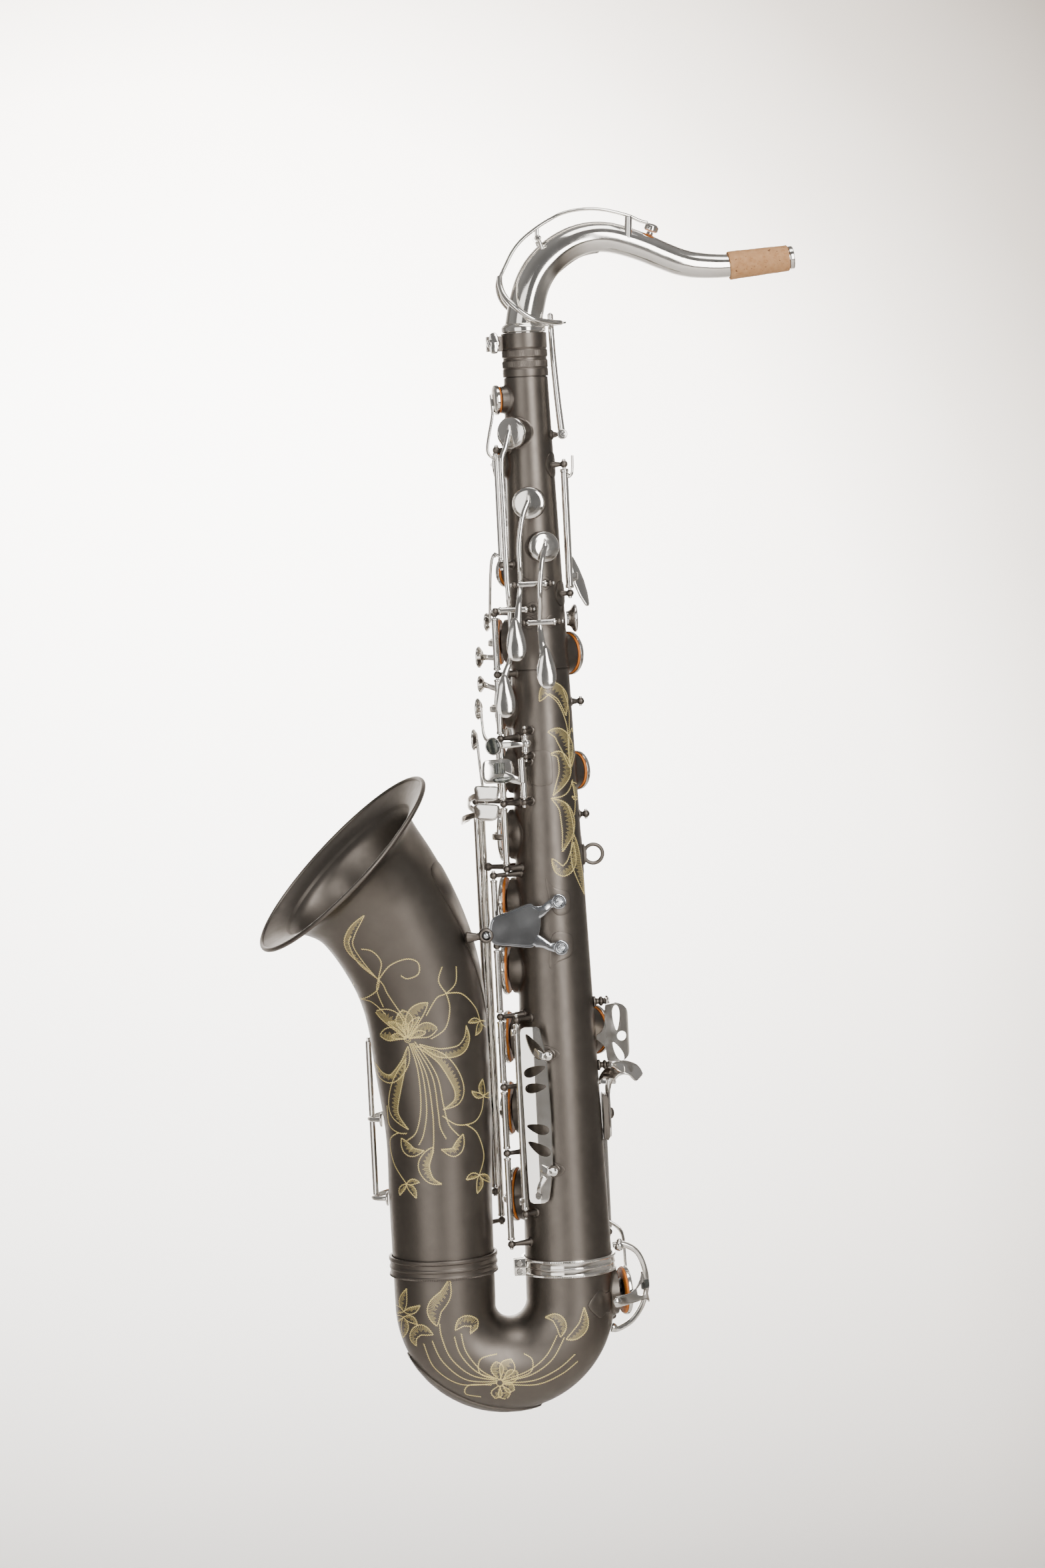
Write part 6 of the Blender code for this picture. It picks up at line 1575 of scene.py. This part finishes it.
def make_table():
    """The left little finger's G sharp lever, low C sharp touch with rollers, and the link below."""
    x, y = G_LEVER_HINGE
    lever, pearl = Shape(), Shape()
    add_hinge(lever, (x, y), 75.8, 88.2)
    out = Vector((-0.55, -0.83, 0))
    lever.lathe([(0, -2.0), (4.0, -2.0), (6.2, -0.2), (6.4, 0.9), (6.0, 1.5), (5.3, 1.4), (5.3, 0.8),
                 (0, 0.8)], (-69.5, -25.0, 81.5), out, 48, 0.2)
    pearl.lathe([(0, 0.3), (5.2, 0.3), (5.2, 1.6), (4.4, 2.3), (2.4, 2.5), (0, 2.55)],
                (-69.5, -25.0, 81.5), out, 48, 0.3)
    lever.bar([(x, y, 82.0), (-57.0, -27.5, 82.0), (-68.5, -23.6, 81.5)], [3.0, 4.4, 5.0], 2.1,
              (-0.4, -0.9, 0), 6, 3.0)
    lever.ball((x + 1.0, y - 0.6, 82.4), 3.3, 28)
    plated("g_sharp_lever", lever, "silver", "g_sharp_lever")
    piece("g_sharp_pearl", pearl, "pearl", "g_sharp_lever")
    x, y = TABLE_HINGE
    touch, rollers = Shape(), Shape()
    add_hinge(touch, (x, y), 43.8, 66.2)
    touch.plate([(-11, -7), (-4, -8.4), (9, -8), (11.4, -4), (11.4, 4), (8, 8), (0, 8.4), (-9, 8),
                 (-11.5, 4)], 2.4, (-67.5, -27.5, 64.0), (1, 0.25, 0), UP, 0.6, 3, 0.4)
    touch.bar([(x, y, 56.0), (-57.0, -28.5, 58.0), (-64.0, -27.0, 61.0)], 6.0, 2.2, (-0.2, -1, 0), 6, 3.0)
    touch.rod([(x - 1.0, y - 3.4, 55.0), (x - 1.0, y - 3.4, 72.0)], [2.2, 2.4], 24, 1)
    for dx in (-2.4, -0.8, 0.8, 2.4):
        rollers.rod([(-66.6 + dx, -29.9 + 0.25 * dx, 62.4), (-66.6 + dx, -29.9 + 0.25 * dx, 70.0)], 1.25,
                    16, 1)
    rollers.rod([(-71.0, -30.2, 58.0), (-64.0, -28.8, 57.8), (-58.6, -28.2, 58.6)], [1.6, 2.1, 1.6], 24,
                4)
    plated("low_c_sharp_touch", touch, "silver", "low_c_sharp_touch")
    piece("table_rollers", rollers, "pearl", "low_c_sharp_touch")
    x, y = C_SHARP_LINK
    link = Shape()
    add_hinge(link, (x, y), -247.0, -115.0)
    for z in (-240.0, -120.0):
        link.bar([(x, y, z), (x - 2.4, y - 2.8, z), (x - 4.5, y - 5.0, z)], [4.0, 4.4, 5.0], 2.0,
                 (0.5, -0.8, 0), 4, 3.0)
    plated("low_c_sharp_link", link, "silver", "low_c_sharp_link")


# ---------------------------------------------------------------- engraving

def hits_from(items):
    """A search tree of the pieces' faces, in millimetres."""
    verts, faces = [], []
    for item in items:
        base = len(verts)
        verts += [v.co / MM for v in item.data.vertices]
        faces += [tuple(base + i for i in p.vertices) for p in item.data.polygons]
    return BVHTree.FromPolygons(verts, faces)


def cast(tree, x, z):
    """Where the line of sight through (x, 0, z) meets the surface, and the normal there."""
    ray = (Vector((x, 0, z)) - CAMERA_AT).normalized()
    hit, normal = tree.ray_cast(CAMERA_AT, ray)[:2]
    if hit is None or normal.dot(ray) > -0.12:
        return None
    return hit, normal


def resample(points, pitch):
    """Points an equal step apart along a curve."""
    path = [Vector((x, z, 0)) for x, z in points]
    path = smoothed(path, 1.0, 10)[0]
    out = [path[0]]
    spare = 0.0
    for a, b in zip(path, path[1:]):
        length = (b - a).length
        place = pitch - spare
        while place <= length:
            out.append(a.lerp(b, place / length))
            place += pitch
        spare = (spare + length) % pitch
    return out


def ribbon(shape, spots, width, lift=0.12):
    """A thin raised strip through spots on a surface, each with its normal."""
    rings = []
    for i, (here, normal) in enumerate(spots):
        ahead = spots[min(i + 1, len(spots) - 1)][0] - spots[max(i - 1, 0)][0]
        if ahead.length < 1e-4:
            continue
        side = normal.cross(ahead.normalized()) * width / 2
        rings.append([here - side - normal * 0.08, here + side - normal * 0.08,
                      here + side * 0.7 + normal * lift, here - side * 0.7 + normal * lift])
    if len(rings) > 1:
        shape.skin(rings)


def wriggle(shape, tree, points, swing=0.5, pitch=0.8, width=0.42):
    """A walked graver's line: a tight zigzag along a curve."""
    path = resample(points, pitch)
    spots, line = [], []
    for i, p in enumerate(path):
        found = cast(tree, p.x, p.y)
        if found is None:
            ribbon(shape, spots, width)
            ribbon(shape, line, width, 0.08)
            spots, line = [], []
            continue
        ahead = path[min(i + 1, len(path) - 1)] - path[max(i - 1, 0)]
        hit, normal = found
        across_line = normal.cross(Vector((ahead.x, 0, ahead.y))).normalized()
        spots.append((hit + across_line * swing * (1 if i % 2 else -1), normal))
        line.append(found)
    ribbon(shape, spots, width)
    ribbon(shape, line, width, 0.08)


def hatch(shape, tree, a, b):
    """One fine straight line of shading."""
    spots = []
    for k in range(4):
        found = cast(tree, a.x + (b.x - a.x) * k / 3, a.y + (b.y - a.y) * k / 3)
        if found is None:
            break
        spots.append(found)
    ribbon(shape, spots, 0.24, 0.09)


def leaf(shape, tree, spine, width, fullness=0.8, tip=1.0, shade=1):
    """An engraved leaf: two wriggled edges along a curved spine, and fine shading from one edge."""
    path = resample(spine, 0.8)
    count = len(path)
    left, right = [], []
    for i, p in enumerate(path):
        t = i / (count - 1)
        ahead = path[min(i + 1, count - 1)] - path[max(i - 1, 0)]
        side = Vector((-ahead.y, ahead.x, 0)).normalized()
        half = width * math.sin(math.pi * t ** fullness) ** tip
        left.append(p + side * half * 0.5)
        right.append(p - side * half * 0.5)
    for edge in (left, right):
        wriggle(shape, tree, [(p.x, p.y) for p in edge[::3]] + [(edge[-1].x, edge[-1].y)])
    outer, inner = (left, right) if shade > 0 else (right, left)
    for i in range(2, count - 1):
        end = inner[i - 2]
        if (outer[i] - end).length > 0.8:
            hatch(shape, tree, outer[i], outer[i].lerp(end, 0.55 + 0.12 * math.sin(i * 1.7)))


def placed(points, origin, scale=1.0):
    return [(origin[0] + x * scale, origin[1] + z * scale) for x, z in points]


def bud(shape, tree, origin, heading, size=1.0):
    """Three small leaves on the end of a stem."""
    for turn, long, wide in ((0, 13, 4.2), (62, 10, 3.8), (-62, 10, 3.8)):
        t = math.radians(heading + turn)
        c, s = math.cos(t), math.sin(t)
        bend = 1.2 if turn >= 0 else -1.2
        spine = [(0, 0), (c * long * 0.5 - s * bend, s * long * 0.5 + c * bend), (c * long, s * long)]
        leaf(shape, tree, placed(spine, origin, size), wide * size, 0.85)


def ring_stroke(shape, tree, centre, radius):
    turns = [2 * math.pi * k / 12 for k in range(13)]
    wriggle(shape, tree, [(centre[0] + radius * math.cos(t), centre[1] + radius * math.sin(t))
                          for t in turns], 0.2, 0.5, 0.28)


BELL_FLOWER = (-138.4, -124.0)
BELL_PETALS = [   # heading in degrees, length, width, fullness, bend
    (58, 30, 10.5, 1.15, 4), (97, 22, 12.0, 1.4, 0), (136, 31, 10.5, 1.15, -4), (16, 23, 10.5, 1.35, 2),
    (168, 20, 9.5, 1.35, -2),
]
BELL_STREAMERS = [
    [(1, -3), (6, -22), (7, -48), (3, -66), (-4, -72)],
    [(2, -3), (9, -24), (11, -50), (8, -68), (4, -76)],
    [(3, -3), (12, -26), (15, -52), (15, -70), (14, -82)],
    [(4, -3), (16, -27), (19, -52), (20, -64), (24, -73)],
    [(5, -2), (19, -26), (23, -48), (26, -62), (33, -71)],
]
BELL_LEAVES = [   # spine, width, fullness, shading side
    ([(0, -5), (-3, -17), (-12, -27), (-20, -24), (-25, -13)], 6.5, 0.8, -1),
    ([(-2, -14), (-10, -34), (-12, -52), (-2, -65)], 7.5, 0.85, 1),
    ([(6, -5), (24, -16), (34, -34), (33, -46), (22, -52)], 8.5, 0.95, -1),
    ([(8, -4), (22, -11), (36, -10), (42, -2), (42, 8)], 7.0, 1.0, -1),
    ([(-8, -70), (-2, -80), (8, -80)], 7.0, 0.9, 1), ([(36, -70), (30, -82), (20, -80)], 7.0, 0.9, -1),
    ([(14, -78), (7, -90), (11, -101), (20, -105)], 8.0, 0.75, 1),
    ([(-19, 44), (-37, 66), (-36, 78), (-26, 90)], 6.0, 1.6, 1),
]
BELL_VINES = [
    [(-1, 14), (-12, 32), (-17, 42), (-32, 56), (-38, 70), (-36, 76)],
    [(-16, 24), (-20, 36), (-18, 46), (-16, 56), (-22, 64), (-30, 66)],
    [(-18, 44), (-10, 53), (2, 57), (10, 54), (10, 46), (2, 43), (-3, 46)],
    [(-18, 44), (-20, 36), (-30, 31), (-36, 36), (-36, 43)],
    [(-34, 31), (-24, 28), (-14, 18)],
    [(14, 16), (22, 28), (29, 31), (36, 38), (37, 50)], [(29, 31), (24, 40), (27, 50)],
    [(29, 31), (31, 20), (27, 6), (16, -1)], [(29, 31), (40, 30), (49, 20), (52, 10)],
    [(22, -56), (32, -63), (44, -62), (50, -54), (52, -42)],
    [(38, -63), (46, -70), (50, -86), (46, -100)],
    [(-10, -66), (-16, -71), (-14, -88), (-6, -103)], [(-4, -67), (-10, -66), (-16, -60), (-17, -46)],
]
BELL_BUDS = [   # place, heading in degrees, size
    ((-6, -103), -60, 1.0), ((46, -100), -100, 1.05), ((52, -44), 90, 1.0), ((52, 10), -110, 0.9),
]


def engrave_bell(tree):
    work = Shape()
    for heading, long, wide, fullness, bend in BELL_PETALS:
        t = math.radians(heading)
        c, s = math.cos(t), math.sin(t)
        spine = [(c * 2, s * 2), (c * long * 0.55 - s * bend, s * long * 0.55 + c * bend),
                 (c * long, s * long)]
        leaf(work, tree, placed(spine, BELL_FLOWER), wide, fullness, 0.8)
        leaf(work, tree, placed([(x * 0.62, z * 0.62) for x, z in spine], BELL_FLOWER), wide * 0.4,
             fullness, 0.9, -1)
    for points in BELL_STREAMERS + BELL_VINES:
        wriggle(work, tree, placed(points, BELL_FLOWER))
    for spine, wide, fullness, shade in BELL_LEAVES:
        leaf(work, tree, placed(spine, BELL_FLOWER), wide, fullness, 1.0, shade)
    for origin, heading, size in BELL_BUDS:
        bud(work, tree, placed([origin], BELL_FLOWER)[0], heading, size)
    ring_stroke(work, tree, BELL_FLOWER, 2.2)
    ring_stroke(work, tree, BELL_FLOWER, 1.1)
    piece("engraving_bell", work, "gold", "horn")


BOW_FLOWER = (-85.0, -374.0)


def engrave_bow(tree):
    work = Shape()
    streams = [
        [(-2, 1), (-24, 4), (-40, 18), (-47, 34)], [(-2, 2), (-20, 7), (-34, 20), (-40, 36), (-41, 46)],
        [(-2, 3), (-16, 9), (-27, 22), (-31, 36)], [(-2, 3), (-13, 10), (-23, 24), (-26, 38)],
        [(-2, 0), (-28, 1), (-46, 14), (-53, 32)],
        [(2, 1), (22, 4), (38, 14), (48, 30)], [(2, 2), (20, 7), (34, 17), (43, 32)],
        [(2, 0), (24, 0), (42, 7), (55, 17)], [(2, -1), (26, -3), (44, 3), (57, 12)],
        [(-4, 3), (-14, 8), (-13, 18), (-1, 21)], [(8, 2), (22, 6), (24, 15), (18, 20)],
        [(-6, -1), (-22, 0), (-25, -6), (-14, -9)],
    ]
    for points in streams:
        wriggle(work, tree, placed(points, BOW_FLOWER))
    for spine, wide, fullness, shade in (
            ([(-43, 44), (-44, 56), (-36, 66), (-32, 78)], 11.0, 0.8, 1),
            ([(-46, 38), (-55, 42), (-60, 37), (-58, 30)], 7.5, 0.9, -1),
            ([(-30, 40), (-24, 46), (-16, 44), (-20, 36)], 7.5, 0.9, 1),
            ([(45, 30), (46, 38), (42, 44), (34, 45)], 7.5, 0.85, -1),
            ([(49, 28), (56, 31), (62, 38), (63, 51)], 7.5, 0.8, -1)):
        leaf(work, tree, placed(spine, BOW_FLOWER), wide, fullness, 1.0, shade)
    for heading, long, wide in (
            (62, 19, 11), (98, 16, 9), (28, 15, 9), (-70, 13, 9), (-110, 12, 8), (-30, 12, 7)):
        t = math.radians(heading)
        c, s = math.cos(t), math.sin(t)
        spine = [(c * 2, s * 2), (c * long * 0.6, s * long * 0.6), (c * long, s * long)]
        leaf(work, tree, placed(spine, BOW_FLOWER), wide, 1.4, 0.8, 1)
    ring_stroke(work, tree, BOW_FLOWER, 2.4)
    bud(work, tree, (-151.0, -318.0), 80, 1.3)
    bud(work, tree, (-151.5, -322.0), -95, 1.2)
    piece("engraving_bow", work, "gold", "horn")


def engrave_body(tree):
    work = Shape()
    for points in (
            [(-29, 116), (-20, 108), (-14.5, 92), (-14, 74), (-13, 58)],
            [(-16, 118), (-12.5, 104), (-13, 86), (-14, 70)],
            [(-28, 41), (-20, 42), (-15, 46), (-12, 54)], [(-28, 41), (-18, 37), (-14, 26), (-13, 12)],
            [(-12.6, 52), (-11, 40), (-12, 28)]):
        wriggle(work, tree, points)
    for spine, wide, fullness, shade in (
            ([(-33, 110), (-26, 119), (-17, 113), (-14.5, 98)], 9.0, 0.8, 1),
            ([(-28, 88), (-20, 86), (-15, 76), (-14, 62)], 9.5, 0.8, 1),
            ([(-28, 72), (-20, 71), (-17.5, 58), (-27, 42)], 8.5, 1.0, 1),
            ([(-28, 41), (-19, 33), (-17, 18), (-22, 2)], 9.5, 0.95, 1),
            ([(-29.5, -2), (-23, -11), (-16, -6), (-13.5, 10)], 7.5, 0.75, -1),
            ([(-13, 14), (-12.5, -4), (-9.5, -20), (-7.6, -29)], 6.5, 0.8, 1),
            ([(-11, 90), (-11.5, 76), (-12.5, 62)], 5.0, 0.9, 1),
            ([(-13, 52), (-9.5, 47), (-9.6, 40), (-14, 42)], 5.0, 0.9, -1)):
        leaf(work, tree, spine, wide, fullness, 1.0, shade)
    piece("engraving_body", work, "gold", "horn")


# ---------------------------------------------------------------- stage, light and camera

def make_stage():
    """A floor that sweeps up into the backdrop, painted pale behind the horn and darker towards the
    frame's edges as painted shade.
    """
    floor = CAMERA_AIM.z - FLOOR_DROP
    rows = [(-STAGE_REACH, floor), (SWEEP_START, floor)]
    for k in range(1, 25):
        t = math.pi / 2 * k / 24
        rows.append((SWEEP_START + SWEEP_RADIUS * math.sin(t), floor + SWEEP_RADIUS * (1 - math.cos(t))))
    rows.append((WALL_AT, floor + STAGE_REACH))
    verts = [Vector((x, y, z)) * MM for y, z in rows for x in (-STAGE_REACH, STAGE_REACH)]
    faces = [(2 * i, 2 * i + 1, 2 * i + 3, 2 * i + 2) for i in range(len(rows) - 1)]
    mesh = bpy.data.meshes.new("backdrop")
    mesh.from_pydata(verts, [], faces)
    mesh.shade_smooth()
    item = bpy.data.objects.new("backdrop", mesh)
    bpy.context.scene.collection.objects.link(item)
    # The colour is painted light and shade: pale round a point behind the horn, a dark ring of painted
    # shade further out, and paler again far off.
    made, tree, shader = new_material("backdrop", (0.88, 0.86, 0.84), 0.0, 0.95)
    coords = tree.nodes.new("ShaderNodeTexCoord")
    flat = tree.nodes.new("ShaderNodeVectorMath")
    flat.operation = "MULTIPLY"
    flat.inputs[1].default_value = (1.0, 0.0, 1.0)
    tree.links.new(coords.outputs["Object"], flat.inputs[0])
    reach = tree.nodes.new("ShaderNodeVectorMath")
    reach.operation = "DISTANCE"
    reach.inputs[1].default_value = (-0.20, 0.0, -0.11)
    tree.links.new(flat.outputs["Vector"], reach.inputs[0])
    paper = texture(tree, "ShaderNodeTexNoise", 1.3, Detail=3.0)
    shaded = tree.nodes.new("ShaderNodeMath")
    shaded.operation = "ADD"
    tree.links.new(spread(tree, reach.outputs["Value"], 0.0, 0.98, 0.56, 3.08), shaded.inputs[0])
    tree.links.new(spread(tree, paper.outputs["Fac"], -0.01, 0.01), shaded.inputs[1])
    tree.links.new(ramp(tree, shaded.outputs["Value"], [(0.0, (0.93, 0.92, 0.905)),
                                                        (0.17, (0.82, 0.79, 0.76)),
                                                        (0.28, (0.50, 0.47, 0.44)),
                                                        (0.37, (0.31, 0.285, 0.26)),
                                                        (0.51, (0.13, 0.115, 0.10)),
                                                        (0.60, (0.14, 0.125, 0.11)),
                                                        (0.78, (0.50, 0.48, 0.46)),
                                                        (1.0, (0.76, 0.74, 0.715))]),
                   shader.inputs["Base Color"])
    mesh.materials.append(made)


def area_light(name, place, aim, size, power, fan):
    data = bpy.data.lights.new(name, "AREA")
    data.shape = "RECTANGLE"
    data.size, data.size_y = size
    data.energy = power
    data.spread = math.radians(fan)
    data.color = LAMP_COLOUR
    item = bpy.data.objects.new(name, data)
    bpy.context.scene.collection.objects.link(item)
    item.location = place
    item.rotation_mode = "QUATERNION"
    item.rotation_quaternion = (Vector(aim) - Vector(place)).to_track_quat("-Z", "Y")


def make_lights():
    world = bpy.data.worlds.new("studio")
    world.use_nodes = True
    tree = world.node_tree
    background = tree.nodes["Background"]
    coords = tree.nodes.new("ShaderNodeTexCoord")
    parts = tree.nodes.new("ShaderNodeSeparateXYZ")
    tree.links.new(coords.outputs["Generated"], parts.inputs["Vector"])
    tree.links.new(ramp(tree, spread(tree, parts.outputs["Y"], 0.0, 1.0, -1.0, 1.0),
                        [(0.0, (0.30, 0.295, 0.29)), (0.16, (0.34, 0.33, 0.32)),
                         (0.42, (0.50, 0.485, 0.47)), (1.0, (0.55, 0.53, 0.51))]),
                   background.inputs["Color"])
    background.inputs["Strength"].default_value = 0.55
    bpy.context.scene.world = world
    for lamp in LAMPS:
        area_light(*lamp)


def make_camera():
    data = bpy.data.cameras.new("camera")
    data.lens = CAMERA_LENS
    data.sensor_width = 36.0
    data.clip_start = 0.05
    data.clip_end = 60.0
    item = bpy.data.objects.new("camera", data)
    bpy.context.scene.collection.objects.link(item)
    item.rotation_mode = "QUATERNION"
    item.location = CAMERA_AT * MM
    level = (-CAMERA_BACK).to_track_quat("-Z", "Y")
    item.rotation_quaternion = level @ Quaternion((0, 0, 1), CAMERA_ROLL)
    bpy.context.scene.camera = item


def main():
    make_camera()
    make_lights()
    make_stage()
    tube = make_body_tube()
    make_receiver()
    bow = make_bow()
    make_clamp_ring()
    make_bell_ring()
    bell = make_bell()
    make_strap_ring()
    make_thumb_rest()
    make_thumb_hook()
    make_eb_guard()
    make_low_c_guard()
    make_bell_key_guard()
    make_side_guard()
    make_brace()
    make_neck()
    make_cork()
    make_neck_key()
    for name, data in KEYS.items():
        make_rod_key(name, data)
    for name, data in PALM.items():
        make_palm_key(name, data)
    make_octave()
    make_table()
    engrave_bell(hits_from([bell]))
    engrave_bow(hits_from([bow]))
    engrave_body(hits_from([tube]))


main()
